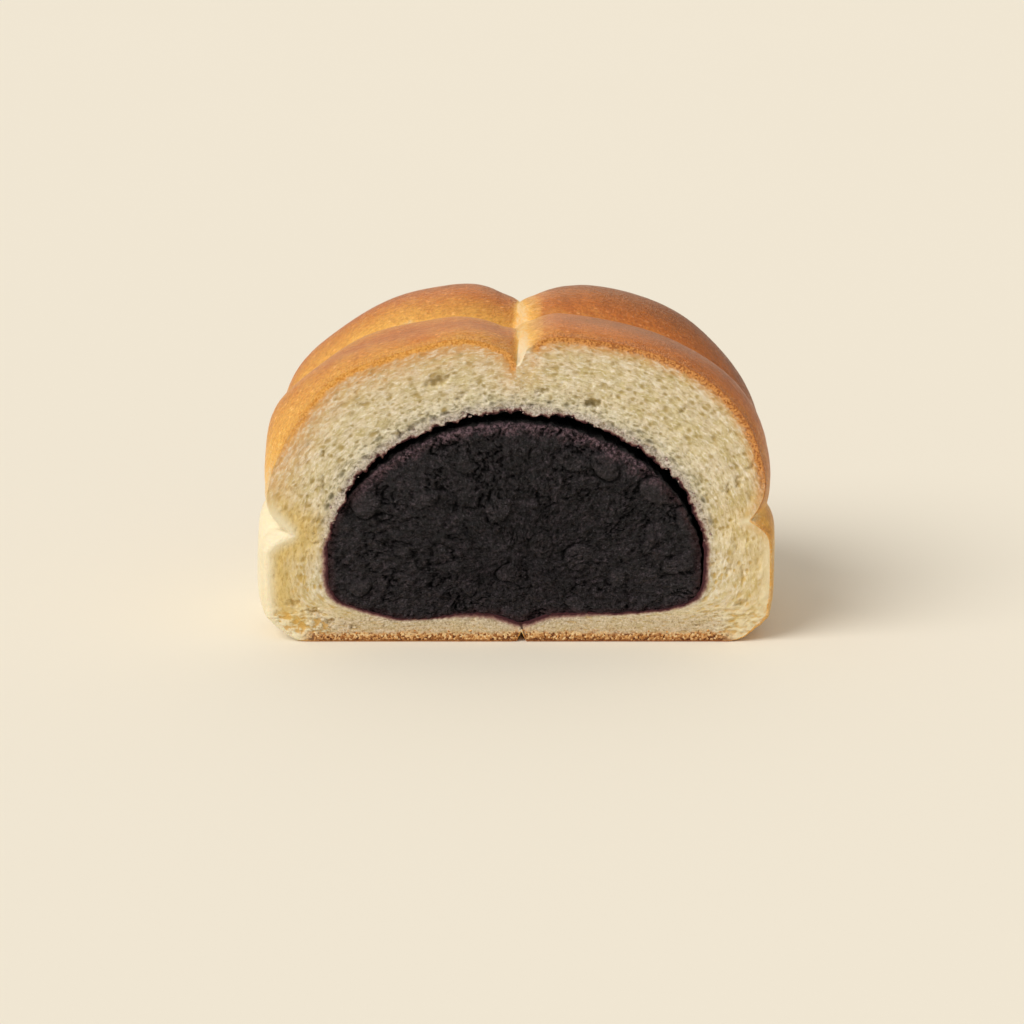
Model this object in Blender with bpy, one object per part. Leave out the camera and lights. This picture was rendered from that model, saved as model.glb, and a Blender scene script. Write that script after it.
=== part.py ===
"""Half of a sweet bun filled with red bean paste, cut straight across and standing on its flat base.

The bun is a loaf of soft dough in plump lobes: a groove runs back along the top, cross grooves part
the rows of lobes, and a crease runs round the sides where the lobes lap over the base of the dough.
The knife's cut faces -Y. It shows the crumb as a wall all round a thick core of bean paste, and a
narrow gap above the paste, where it has shrunk from the crumb. The origin is the middle of the
base, +X is to the right of the cut and +Z is up. Sizes are in metres.
"""

import math

import bpy
import numpy as np
from mathutils import Matrix

MM = 0.001

# The bun's outer form, at the crests of its lobes. Its section is two half superellipses, which meet
# at the height of the side crease: the dome above and the base below.
DOME_HALF_WIDTH = 47.5 * MM
BASE_HALF_WIDTH = 48.4 * MM
WIDTH_BLEND = 0.125
CREASE_HEIGHT = 23.5 * MM
DOME_RISE = 36.4 * MM
BASE_DROP = 25.6 * MM
DOME_POWER = 2.44
BASE_POWER = 6.5
LENGTH = 60.0 * MM
STRAIGHT_LENGTH = 20.0 * MM
END_POWERS = {"wide": 2.5, "rise": 2.2, "drop": 5.0}
ARCH_RISE = 3.2 * MM
ARCH_TOP = 40.5 * MM
REAR_BULGE = 0.3 * MM
SWELL = 0.45 * MM
RIPPLE = 0.3 * MM

# Cross grooves between the rows of lobes. The first is just in front of the cut.
ROW_PITCH = 23.5 * MM
FIRST_GROOVE = -4.8 * MM
CUT_SKEW = 0.014
ROWS_WITH_GROOVES = 2.5
CROSS_GROOVE_DEPTH = 5.4 * MM
CROSS_SHARE_ON_BASE = 0.6
CROSS_GROOVE_FOOT = 6.0 * MM
GROOVE_SWEEP = 1.5 * MM
SWEEP_SHIFT = 0.35

# The groove that runs back along the top. Pairs are for the left side and the right side.
TOP_GROOVE_DEPTH = 4.3 * MM
TOP_GROOVE_REACHES = (14.0 * MM, 8.5 * MM)
TOP_GROOVE_START = 14.0 * MM
MEANDER = 0.9 * MM
MEANDER_LENGTH = 26.4 * MM
LETS_GO_OVER = 12.0 * MM
STEADIES_OVER = 25.0 * MM

# The crease round the sides: shallow on the crests of the lobes, and deeper and lower in the grooves
SIDE_CREASE_SHALLOW = 1.3 * MM
SIDE_CREASE_DEEP = 4.4 * MM
SIDE_CREASE_DEEPENS = 0.35
SIDE_CREASE_REACH_BELOW = 4.5 * MM
SIDE_CREASE_REACH_ABOVE = 8.0 * MM
SIDE_CREASE_HEIGHTS = (26.2 * MM, 24.9 * MM)
SIDE_CREASE_DIPS = (4.9 * MM, 1.4 * MM)

# The seam under the bun, where the dough was closed
SEAM_X = 0.8 * MM
SEAM_HALF_WIDTH = 1.7 * MM
SEAM_HEIGHT = 1.9 * MM
SEAM_LENGTH = 45.0 * MM
SEAM_FADE = 20.0 * MM

# The bean paste and the gap round it
PASTE_X = -0.4 * MM
PASTE_HALF_WIDTH = 34.2 * MM
PASTE_HEIGHT = 16.0 * MM
PASTE_RISE = 26.4 * MM
PASTE_DROP = 10.3 * MM
PASTE_TOP_POWER = 1.95
PASTE_BASE_POWER = 5.0
PASTE_LENGTH = 47.0 * MM
PASTE_STRAIGHT = 16.0 * MM
PASTE_END_POWER = 2.4
ROUNDING_BELOW = 0.5 * MM
ROUNDING_ABOVE = 1.8 * MM
GAP = 0.4 * MM
GAP_ABOVE = 0.9 * MM

# Where the paste sags into the base: across, half width and depth
PASTE_SAGS = (
    (-20.0 * MM, 7.0 * MM, 1.3 * MM),
    (SEAM_X, 3.5 * MM, 1.6 * MM),
)

# How finely the solids are faceted
COLUMNS = 118
RINGS_PER_ROW = 10
REAR_RINGS = 8
CRUMB_RINGS = 7
PASTE_RINGS = 7
FACE_RINGS = 13
CROWDING = 1.3
CROWDING_REACH = 0.14
SPARSE = 0.5
SPARSE_BELOW = -0.6
FINE_STEPS = 6000

# The larger holes in the crumb, in millimetres: across, up, half length, half height and depth
BIG_HOLES = (
    (-14.3, 49.6, 2.6, 1.1, 1.3),
    (13.6, 45.4, 1.9, 0.9, 1.4),
    (-26.0, 30.5, 0.7, 1.2, 1.1),
    (-38.6, 11.0, 1.0, 1.6, 1.0),
    (-36.0, 5.5, 1.9, 0.9, 1.2),
    (30.0, 44.0, 1.1, 0.9, 0.9),
    (41.6, 11.0, 1.0, 1.7, 1.2),
    (38.5, 27.5, 1.0, 1.8, 1.0),
)

# Pieces of bean in the paste, in millimetres: across, up, half length, half height and how far they stand out
BEANS = (
    (-27.2, 26.0, 2.8, 2.8, 0.9),
    (-16.4, 33.0, 2.6, 2.2, 0.6),
    (15.6, 34.0, 3.0, 2.5, 1.0),
    (25.2, 29.2, 3.0, 3.1, 1.0),
    (30.4, 22.4, 2.1, 2.6, 0.8),
    (12.4, 12.6, 3.0, 2.4, 0.8),
    (20.2, 13.6, 2.1, 3.8, 0.7),
    (-28.0, 9.8, 2.2, 2.0, 0.9),
    (8.8, 7.2, 2.3, 1.8, 0.7),
    (24.4, 20.6, 1.8, 3.4, 0.6),
    (-18.6, 17.5, 3.0, 2.2, 0.6),
    (28.6, 11.6, 2.6, 2.2, 0.7),
    (-9.4, 25.4, 2.6, 2.4, 0.6),
)

COLOURS = {"bread": (0.72, 0.45, 0.20), "bean_paste": (0.018, 0.013, 0.014)}
ROUGHNESSES = {"bread": 0.65, "bean_paste": 0.6}
SHARP_ANGLE = math.radians(50)


def clear_scene():
    for obj in list(bpy.data.objects):
        bpy.data.objects.remove(obj)


def ramp(value, start, end):
    """0 up to the start, 1 from the end on, and straight between."""
    return np.clip((value - start) / (end - start), 0, 1)


def lobe_side(distance, reach):
    """1 in the bottom of a groove and 0 on the crest of the lobe beside it, which is round between them."""
    return (1 - ramp(distance, 0, reach)) ** 2


def by_side(x, left_and_right):
    left, right = left_and_right
    return np.where(x > 0, right, left)


def superellipse(sine, cosine, wide, tall, power):
    """How far the outline is from its centre in the direction that the sine and cosine give."""
    return (np.abs(sine / wide) ** power + np.abs(cosine / tall) ** power) ** (-1 / power)


def ending(back, straight, length, power):
    """The share of the full section left at this distance back from the cut."""
    return np.maximum(1 - ramp(back, straight, length) ** power, 0) ** (1 / power)


def loaf(turn, back):
    """The smooth loaf without its grooves. turn is the angle round the section from straight up."""
    sine, cosine = np.sin(turn), np.cos(turn)
    left = {name: ending(back, STRAIGHT_LENGTH, LENGTH, power) for name, power in END_POWERS.items()}
    rise = DOME_RISE + ARCH_RISE * np.sin(math.pi / 2 * back / ARCH_TOP)
    dome_share = ramp(cosine, -WIDTH_BLEND, WIDTH_BLEND)
    wide = (BASE_HALF_WIDTH + (DOME_HALF_WIDTH - BASE_HALF_WIDTH) * dome_share) * left["wide"]
    dome = superellipse(sine, cosine, wide, rise * left["rise"], DOME_POWER)
    base = superellipse(sine, cosine, wide, BASE_DROP * left["drop"], BASE_POWER)
    radius = np.where(cosine > 0, dome, base)
    return np.stack([radius * sine, back, CREASE_HEIGHT + radius * cosine], -1)


def normals(surface, turn, back):
    turn_step, back_step = 1e-5, 3e-7
    round_it = surface(turn + turn_step, back) - surface(turn - turn_step, back)
    along = surface(turn, back + back_step) - surface(turn, back - back_step)
    outward = np.cross(round_it, along)
    return outward / np.linalg.norm(outward, axis=-1, keepdims=True)


def cross_groove(x, back):
    """1 in the bottom of a groove between two rows, 0 on the crest of a row."""
    skew = CUT_SKEW * x * ramp(back, ROW_PITCH, 0)
    row = (back + skew - FIRST_GROOVE) / ROW_PITCH
    groove = lobe_side(np.abs(row - np.round(row)), 0.5)
    return np.where(row > ROWS_WITH_GROOVES, 0, groove)


def groove_depth(place):
    """How deep the grooves and creases go at a place on the smooth loaf."""
    x, back, height = place[..., 0], place[..., 1], place[..., 2]
    above = ramp(height, CREASE_HEIGHT, CREASE_HEIGHT + TOP_GROOVE_START)
    cross = cross_groove(x, back)
    share = CROSS_SHARE_ON_BASE + (1 - CROSS_SHARE_ON_BASE) * above
    cross_depth = CROSS_GROOVE_DEPTH * cross * share * ramp(height, 0, CROSS_GROOVE_FOOT)
    top_depth = TOP_GROOVE_DEPTH * above * lobe_side(np.abs(x), by_side(x, TOP_GROOVE_REACHES))
    nearing = ramp(cross, 0, SIDE_CREASE_DEEPENS)
    crease_height = by_side(x, SIDE_CREASE_HEIGHTS) - nearing * by_side(x, SIDE_CREASE_DIPS)
    reach = np.where(height > crease_height, SIDE_CREASE_REACH_ABOVE, SIDE_CREASE_REACH_BELOW)
    side_full = SIDE_CREASE_SHALLOW + (SIDE_CREASE_DEEP - SIDE_CREASE_SHALLOW) * nearing
    side_depth = side_full * lobe_side(np.abs(height - crease_height), reach)
    return cross_depth + top_depth + side_depth


def unevenness(place):
    """The gentle swelling of dough that was shaped by hand."""
    x, back, height = (place[..., i] / MM for i in range(3))
    swell = np.sin(0.09 * x + 0.06 * height + 0.5) * np.cos(0.08 * back - 2.4)
    ripple = np.sin(0.17 * x - 0.11 * back + 0.2 * height + 3.3)
    return SWELL * swell + RIPPLE * ripple


def bend(place):
    """Sweeps the cross grooves back at the sides and lets the top groove wander. The cut stays flat."""
    x, back, height = place[..., 0], place[..., 1], place[..., 2]
    across = (x / BASE_HALF_WIDTH) ** 2
    free = ramp(back, 0, LETS_GO_OVER) * ramp(back, LENGTH, LENGTH - STEADIES_OVER)
    up = ramp(height, CREASE_HEIGHT, CREASE_HEIGHT + DOME_RISE)
    place[..., 0] += MEANDER * free * up * (1 - across) * np.sin(2 * math.pi * back / MEANDER_LENGTH)
    place[..., 1] += GROOVE_SWEEP * free * (across - SWEEP_SHIFT)


def flatten(place):
    """Presses the base flat and lifts it along its seam."""
    place[..., 2] = np.maximum(place[..., 2], 0)
    notch = 1 - ramp(np.abs(place[..., 0] - SEAM_X), 0, SEAM_HALF_WIDTH)
    fade = ramp(place[..., 1], SEAM_LENGTH, SEAM_LENGTH - SEAM_FADE)
    place[..., 2] += SEAM_HEIGHT * notch * fade * (place[..., 2] < SEAM_HEIGHT)


def bun_surface(turn, back):
    smooth = loaf(turn, back)
    place = smooth + normals(loaf, turn, back) * (unevenness(smooth) - groove_depth(smooth))[..., None]
    place[..., 1] = np.where(back > 0, place[..., 1], 0)
    bend(place)
    flatten(place)
    return place


def paste_surface(turn, back, grown=0.0, grown_above=0.0):
    """The paste's side at an angle round its own middle. It can be grown into the pocket that holds it."""
    sine, cosine = np.sin(turn), np.cos(turn)
    left = ending(back, PASTE_STRAIGHT, PASTE_LENGTH + grown, PASTE_END_POWER)
    top = superellipse(sine, cosine, PASTE_HALF_WIDTH, PASTE_RISE, PASTE_TOP_POWER)
    base = superellipse(sine, cosine, PASTE_HALF_WIDTH, PASTE_DROP, PASTE_BASE_POWER)
    radius = np.where(cosine > 0, top, base) + grown + grown_above * ramp(cosine, -0.2, 0.5)
    x, height = PASTE_X + left * radius * sine, PASTE_HEIGHT + left * radius * cosine
    for middle, half_width, depth in PASTE_SAGS:
        height = height - (cosine < -0.1) * left * depth * np.exp(-(((x - middle) / half_width) ** 2))
    return np.stack([x, back, height], -1)


def bumps(place, sizes_mm):
    """How high a set of half-ellipsoids stand over the cut at a place in it."""
    height = np.zeros(len(place))
    for sizes in sizes_mm:
        across, up, half_length, half_height, high = (size * MM for size in sizes)
        near = 1 - ((place[:, 0] - across) / half_length) ** 2 - ((place[:, 2] - up) / half_height) ** 2
        height = np.maximum(height, high * np.sqrt(np.clip(near, 0, 1)))
    return height


def column_turns():
    """Angles of points along the outline at the cut: close at its creases, and wide apart under it."""
    fine = np.linspace(-math.pi, math.pi, FINE_STEPS + 1)
    steps = np.linalg.norm(np.diff(bun_surface(fine, np.zeros_like(fine)), axis=0), axis=1)
    middles = (fine[1:] + fine[:-1]) / 2
    at_top_or_seam = np.exp(-((np.sin(middles) / CROWDING_REACH) ** 2))
    at_sides = np.exp(-((np.cos(middles) / CROWDING_REACH) ** 2))
    weight = np.where(np.cos(middles) < SPARSE_BELOW, SPARSE, 1) + CROWDING * (at_top_or_seam + at_sides)
    length = np.concatenate([[0], np.cumsum(steps * weight)])
    return np.interp(np.linspace(0, length[-1], COLUMNS, endpoint=False), length, fine)


def spaced(count, start, end):
    """Distances back from the cut, closer together where the end rounds off. The end is left out."""
    return start + (end - start) * np.sin(np.linspace(0, math.pi / 2, count, endpoint=False))


def bun_backs():
    """Where the bun's rings stand: one in each cross groove, even steps between, and closer at the rear."""
    second, third = FIRST_GROOVE + ROW_PITCH, FIRST_GROOVE + 2 * ROW_PITCH
    front_count = round(RINGS_PER_ROW * second / ROW_PITCH)
    front = np.linspace(0, second, front_count, endpoint=False)
    between = np.linspace(second, third, RINGS_PER_ROW, endpoint=False)
    return np.concatenate([front, between, spaced(REAR_RINGS, third, LENGTH)])


def rings_at(surface, turns, backs, *sizes):
    return [surface(turns, np.full_like(turns, back), *sizes) for back in backs]


def loft(name, rings, first_pole, last_pole):
    """A closed solid through rings of points, shut with a fan at each end."""
    count = len(rings[0])
    points = np.concatenate([[first_pole], *rings, [last_pole]])
    last = len(points) - 1
    faces = []
    for j in range(count):
        k = (j + 1) % count
        faces.append((0, 1 + j, 1 + k))
        for low in range(1, last - count, count):
            faces.append((low + j, low + count + j, low + count + k, low + k))
        faces.append((last - count + j, last, last - count + k))
    mesh = bpy.data.meshes.new(name)
    mesh.from_pydata(points.tolist(), [], faces)
    obj = bpy.data.objects.new(name, mesh)
    bpy.context.scene.collection.objects.link(obj)
    return obj


def paste_turns(turns):
    """The angles round the paste's middle that face the bun's own points at the cut."""
    edge = bun_surface(turns, np.zeros_like(turns))
    return np.arctan2(edge[:, 0] - PASTE_X, edge[:, 2] - PASTE_HEIGHT)


def make_bread(turns):
    """The bun's outside from the rear to the cut, then the crumb of the cut and the pocket for the paste."""
    outside = rings_at(bun_surface, turns, bun_backs())[::-1]
    pocket_backs = spaced(PASTE_RINGS, 0, PASTE_LENGTH)
    pocket = rings_at(paste_surface, paste_turns(turns), pocket_backs, GAP, GAP_ABOVE)
    crumb = []
    for share in np.linspace(0, 1, CRUMB_RINGS + 1)[1:-1]:
        ring = outside[-1] + (pocket[0] - outside[-1]) * share
        ring[:, 1] += bumps(ring, BIG_HOLES)
        crumb.append(ring)
    rear = outside[0].mean(axis=0) + (0, REAR_BULGE, 0)
    return loft("bread", outside + crumb + pocket, rear, (PASTE_X, PASTE_LENGTH + GAP, PASTE_HEIGHT))


def make_paste(turns):
    """The core of paste from its round rear to the cut, where its edge is rounded and beans stand out."""
    facing = paste_turns(turns)
    sides = rings_at(paste_surface, facing, spaced(PASTE_RINGS, 0, PASTE_LENGTH))[::-1]
    rounding = ROUNDING_BELOW + (ROUNDING_ABOVE - ROUNDING_BELOW) * ramp(np.cos(facing), 0, 0.7)
    middle = np.array([PASTE_X, 0, PASTE_HEIGHT])
    rim = sides[-1].copy()
    sides[-1][:, 1] += rounding
    rounded_share = rounding / np.linalg.norm(rim - middle, axis=1)
    face = []
    for share in np.linspace(0, 1, FACE_RINGS, endpoint=False):
        inward = rounded_share + (1 - rounded_share) * share
        ring = rim + (middle - rim) * inward[:, None]
        ring[:, 1] -= bumps(ring, BEANS)
        face.append(ring)
    return loft("bean_paste", sides + face, (PASTE_X, PASTE_LENGTH, PASTE_HEIGHT), middle)


def centre(objects):
    """Puts the origin in the middle of the base of all the objects together."""
    points = np.array([vertex.co for obj in objects for vertex in obj.data.vertices])
    middle = (points.min(axis=0) + points.max(axis=0)) / 2
    for obj in objects:
        obj.data.transform(Matrix.Translation((-middle[0], -middle[1], -points[:, 2].min())))


def finish(obj):
    material = bpy.data.materials.new(obj.name)
    material.use_nodes = True
    shader = material.node_tree.nodes["Principled BSDF"]
    shader.inputs["Base Color"].default_value = (*COLOURS[obj.name], 1)
    shader.inputs["Roughness"].default_value = ROUGHNESSES[obj.name]
    shader.inputs["Metallic"].default_value = 0
    obj.data.materials.append(material)
    obj.data.shade_smooth()
    obj.data.set_sharp_from_angle(angle=SHARP_ANGLE)


clear_scene()
columns = column_turns()
pieces = [make_bread(columns), make_paste(columns)]
centre(pieces)
for piece in pieces:
    finish(piece)
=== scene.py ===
"""Half of a red bean bun on a pale floor: porous crumb and browned crust round a core of bean paste.

Sizes with the ending MM are in metres. Textures work in millimetres. Colours are given as 0 to 255, as a
screen shows them, and paint() turns them into the linear colours that Blender works with.
"""

import math

import bpy
import numpy as np
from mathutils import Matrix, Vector
from mathutils.kdtree import KDTree


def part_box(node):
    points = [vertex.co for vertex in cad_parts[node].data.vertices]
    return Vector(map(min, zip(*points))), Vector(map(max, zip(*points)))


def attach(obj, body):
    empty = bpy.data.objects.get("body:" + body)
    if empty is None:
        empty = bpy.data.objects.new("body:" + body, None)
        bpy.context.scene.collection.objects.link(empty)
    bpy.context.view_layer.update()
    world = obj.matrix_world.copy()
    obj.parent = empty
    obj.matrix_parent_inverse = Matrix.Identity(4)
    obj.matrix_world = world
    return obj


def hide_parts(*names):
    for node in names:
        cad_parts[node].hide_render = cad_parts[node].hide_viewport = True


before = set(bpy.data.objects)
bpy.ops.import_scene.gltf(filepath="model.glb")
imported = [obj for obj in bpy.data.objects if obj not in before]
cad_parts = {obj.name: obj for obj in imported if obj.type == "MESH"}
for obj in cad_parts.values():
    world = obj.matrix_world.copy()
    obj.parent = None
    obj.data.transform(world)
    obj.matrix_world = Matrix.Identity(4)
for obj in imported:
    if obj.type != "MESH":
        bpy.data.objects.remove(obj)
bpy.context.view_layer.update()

bl_info = {
    "name": "Red bean bun half",
    "version": (1, 0, 0),
    "blender": (4, 5, 0),
    "location": "3D View > Sidebar > Bun",
    "description": "Makes the crumb, crust, bean paste and crumbs of half a red bean bun",
    "category": "Add Mesh",
}

MM = 0.001
BODY = "root"

# ---- The bun's form, as its solids have it ----
# y runs back from the cut here, until a mesh is put in place.

DOME_HALF_WIDTH = 47.5 * MM
BASE_HALF_WIDTH = 48.4 * MM
WIDTH_BLEND = 0.125
CREASE_HEIGHT = 23.5 * MM
DOME_RISE = 36.4 * MM
BASE_DROP = 25.6 * MM
DOME_POWER = 2.44
BASE_POWER = 6.5
LENGTH = 60.0 * MM
STRAIGHT_LENGTH = 20.0 * MM
END_POWERS = {"wide": 2.5, "rise": 2.2, "drop": 5.0}
ARCH_RISE = 3.2 * MM
ARCH_TOP = 40.5 * MM
REAR_BULGE = 0.3 * MM
SWELL = 0.45 * MM
RIPPLE = 0.3 * MM

ROW_PITCH = 23.5 * MM
FIRST_GROOVE = -4.8 * MM
CUT_SKEW = 0.014
ROWS_WITH_GROOVES = 2.5
CROSS_GROOVE_DEPTH = 5.4 * MM
CROSS_SHARE_ON_BASE = 0.6
CROSS_GROOVE_FOOT = 6.0 * MM
GROOVE_SWEEP = 1.5 * MM
SWEEP_SHIFT = 0.35

TOP_GROOVE_DEPTH = 4.3 * MM
TOP_GROOVE_REACHES = (14.0 * MM, 8.5 * MM)
TOP_GROOVE_START = 14.0 * MM
MEANDER = 0.9 * MM
MEANDER_LENGTH = 26.4 * MM
LETS_GO_OVER = 12.0 * MM
STEADIES_OVER = 25.0 * MM

SIDE_CREASE_SHALLOW = 1.3 * MM
SIDE_CREASE_DEEP = 4.4 * MM
SIDE_CREASE_DEEPENS = 0.35
SIDE_CREASE_REACH_BELOW = 4.5 * MM
SIDE_CREASE_REACH_ABOVE = 8.0 * MM
SIDE_CREASE_HEIGHTS = (26.2 * MM, 24.9 * MM)
SIDE_CREASE_DIPS = (4.9 * MM, 1.4 * MM)

SEAM_X = 0.8 * MM
SEAM_HALF_WIDTH = 1.7 * MM
SEAM_HEIGHT = 1.9 * MM
SEAM_LENGTH = 45.0 * MM
SEAM_FADE = 20.0 * MM
SEAM_LINE_X = 1.4 * MM

PASTE_X = -0.4 * MM
PASTE_HALF_WIDTH = 34.2 * MM
PASTE_HEIGHT = 16.0 * MM
PASTE_RISE = 26.4 * MM
PASTE_DROP = 10.3 * MM
PASTE_TOP_POWER = 1.95
PASTE_BASE_POWER = 5.0
PASTE_LENGTH = 47.0 * MM
PASTE_STRAIGHT = 16.0 * MM
PASTE_END_POWER = 2.4
GAP = 0.4 * MM
PASTE_SAGS = (
    (-20.0 * MM, 7.0 * MM, 1.3 * MM),
    (SEAM_X, 3.5 * MM, 1.6 * MM),
)

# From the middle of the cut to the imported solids' frame
TO_FRAME = np.array([-0.162 * MM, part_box("bread")[0].y, 0])

# ---- How finely the visual meshes are divided ----

CUT_COLUMNS = 1024
CUT_RINGS = 54
OUTSIDE_RINGS = 56
NEAR_BACKS = np.array([1.45, 1.9]) * MM
EVEN_BACKS = (2.6 * MM, 46 * MM)
EVEN_SHARE = 0.68
POCKET_RINGS = 12
PASTE_COLUMNS = 768
PASTE_FACE_RINGS = 104
PASTE_SIDE_RINGS = 18
ROUNDING_STEPS = 5
FINE_STEPS = 12000

# ---- What the visual shapes add to the form ----

EDGE_ROUNDING = 0.22 * MM
PASTE_ROUNDING_ABOVE = 1.3 * MM
CONTACT = 0.12 * MM
SNUG = 0.32 * MM
GAPING_ABOVE = 0.8 * MM
SETTLED_CREST = 8.0 * MM
SETTLED_REACH = 5.2 * MM
SEAM_SLIT = 0.9 * MM
CORNER_X = 38.5 * MM
CORNER_REACH = 9.5 * MM
CORNER_LIFT = 6.6 * MM
TORN_BACK = 3 * MM
OPEN_OVER = 9 * MM
LEAST_ABOVE = 0.25
PORE_STRETCH = 1.55
CRUMB_SOFTNESS = 0.12

# The slit at the top of the cut and the groove behind it, at these distances back from the cut
NOTCH_BACKS = np.array([0, 3, 8, 13, 19, 26, 44, 60]) * MM
NOTCH_DEPTHS = np.array([1.7, 0.6, -0.9, -0.9, -0.3, -0.6, -0.6, 0]) * MM
NOTCH_REACHES = np.array([1.5, 2.0, 3.4, 3.4, 2.6, 3.6, 3.6, 2.0]) * MM
NOTCH_X = 0.3 * MM

# For the left and the right
PALE_EDGE_ROUNDINGS = (1.3 * MM, 0.7 * MM)
SETTLED_DEPTHS = (1.5 * MM, 0.9 * MM)
PASTE_SINKS = (0.3 * MM, 0.6 * MM)
POCKET_CLOSED_FROM = (math.radians(84), math.radians(118))
POCKET_OPEN_TO = (math.radians(50), math.radians(76))
TORN_SHARES = (1.0, 0.7)
TORN_BELOW = (9 * MM, 12 * MM)
MOST_TORN_BELOW = (4 * MM, 5 * MM)

# Where these begin and where they are at their full
SETTLES_LESS = (30 * MM, 41 * MM)
CORNER_BACKS = (16 * MM, 4 * MM)
TORN_ACROSS = (31 * MM, 37 * MM)
TORN_ABOVE = (0.3 * MM, 1.5 * MM)

# Where the dough stands out, or has sunk in, in millimetres: across, up and back, their reaches, and how far
SWELLINGS = (
    (-5.5, 60, 32, 6.0, 30, 10, 0.9),
    (-27, 54, 30, 12, 16, 9, -1.0),
    (6.8, 60, 30, 4.5, 30, 10, -0.8),
    (37, 46, 30, 7, 10, 9, -0.7),
    (48, 14, 6, 8, 10, 11, -1.1),
    (44, 41, 8, 7, 8, 8, 0.5),
    (-46, 43, 12, 9, 7, 9, 1.5),
    (-47, 32, 8, 8, 7, 10, -0.8),
    (-44, 44, 0, 9, 10, 4, -1.0),
)

# Larger holes in the crumb, in millimetres: across, up, half length, half height, depth and tilt in degrees
BIG_HOLES = (
    (-14.3, 49.6, 2.5, 0.9, 1.2, 12),
    (13.6, 45.4, 1.9, 0.85, 1.4, -18),
    (-26.0, 30.5, 0.45, 0.9, 0.8, 35),
    (-35.2, 36.0, 0.6, 0.9, 0.8, 20),
    (-35.4, 30.4, 0.6, 2.2, 0.7, -4),
    (-41.2, 7.5, 1.3, 0.75, 1.0, -20),
    (-37.4, 5.8, 1.6, 0.6, 1.0, -12),
    (-34.6, 4.0, 1.1, 0.5, 0.8, -5),
    (-30.6, 2.9, 0.7, 0.45, 0.7, 0),
    (30.0, 44.0, 0.7, 0.6, 0.7, -40),
    (41.6, 13.5, 0.7, 1.6, 0.45, 8),
    (38.9, 14.1, 0.5, 0.8, 0.4, 0),
    (41.4, 7.5, 1.1, 0.6, 0.9, 15),
    (40.2, 31.0, 0.6, 1.6, 0.8, 5),
    (42.6, 33.4, 0.6, 1.0, 0.7, -5),
    (38.5, 29.6, 0.5, 1.2, 0.7, 5),
    (-1.5, 41.5, 0.9, 0.6, 0.9, 5),
    (-5.2, 42.2, 0.7, 0.5, 0.9, 10),
    (-21.3, 40.0, 0.6, 0.8, 0.9, 40),
    (-19.4, 40.9, 0.5, 0.8, 0.9, 40),
    (-10.5, 46.4, 1.0, 0.5, 0.7, 15),
    (4.6, 47.8, 1.2, 0.5, 0.7, -4),
)

# Bean pieces in the paste, in millimetres: across, up, half length, half height, height out, tilt in degrees
BEANS = (
    (-27.6, 26.4, 2.6, 2.6, 0.9, 0),
    (-16.8, 27.6, 2.4, 1.9, 0.5, 25),
    (16.0, 33.6, 3.0, 2.3, 1.0, -35),
    (10.2, 34.6, 3.6, 1.7, 0.6, -18),
    (25.2, 29.0, 3.0, 2.7, 1.0, -30),
    (30.8, 23.4, 1.9, 2.8, 0.8, 25),
    (11.6, 16.2, 3.0, 2.3, 0.7, 20),
    (24.2, 19.9, 1.1, 3.2, 0.7, -8),
    (-28.8, 10.4, 2.1, 1.9, 0.9, 25),
    (10.8, 7.0, 2.2, 1.5, 0.7, -15),
    (29.6, 15.0, 2.8, 2.0, 0.7, 15),
    (-1.8, 13.2, 2.2, 1.8, 0.9, 0),
    (4.4, 18.6, 2.4, 2.2, 0.6, 30),
    (-3.4, 25.2, 2.2, 2.6, 0.5, 0),
    (18.6, 12.4, 1.5, 2.2, 0.4, 0),
    (-9.4, 33.8, 2.4, 1.8, 0.4, 20),
    (-21.4, 17.6, 2.0, 1.5, 0.4, -30),
)


def paint(red, green, blue):
    """A colour as a screen shows it, 0 to 255, as the linear colour that Blender works with."""
    shares = [channel / 255 for channel in (red, green, blue)]
    return tuple(s / 12.92 if s <= 0.04045 else ((s + 0.055) / 1.055) ** 2.4 for s in shares)


# ---- The surfaces ----


def ramp(value, start, end):
    """0 up to the start, 1 from the end on, and straight between."""
    return np.clip((value - start) / (end - start), 0, 1)


def smooth(share):
    return share * share * (3 - 2 * share)


def lobe_side(distance, reach):
    """1 in the bottom of a groove and 0 on the crest of the lobe beside it, which is round between them."""
    return (1 - ramp(distance, 0, reach)) ** 2


def by_side(x, left_and_right):
    left, right = left_and_right
    return np.where(x > 0, right, left)


def superellipse(sine, cosine, wide, tall, power):
    """How far the outline is from its centre in the direction that the sine and cosine give."""
    return (np.abs(sine / wide) ** power + np.abs(cosine / tall) ** power) ** (-1 / power)


def ending(back, straight, length, power):
    """The share of the full section left at this distance back from the cut."""
    return np.maximum(1 - ramp(back, straight, length) ** power, 0) ** (1 / power)


def loaf(turn, back):
    """The smooth loaf without its grooves. turn is the angle round the section from straight up."""
    sine, cosine = np.sin(turn), np.cos(turn)
    left = {name: ending(back, STRAIGHT_LENGTH, LENGTH, power) for name, power in END_POWERS.items()}
    rise = DOME_RISE + ARCH_RISE * np.sin(math.pi / 2 * back / ARCH_TOP)
    dome_share = ramp(cosine, -WIDTH_BLEND, WIDTH_BLEND)
    wide = (BASE_HALF_WIDTH + (DOME_HALF_WIDTH - BASE_HALF_WIDTH) * dome_share) * left["wide"]
    dome = superellipse(sine, cosine, wide, rise * left["rise"], DOME_POWER)
    base = superellipse(sine, cosine, wide, BASE_DROP * left["drop"], BASE_POWER)
    radius = np.where(cosine > 0, dome, base)
    return np.stack([radius * sine, back, CREASE_HEIGHT + radius * cosine], -1)


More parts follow.
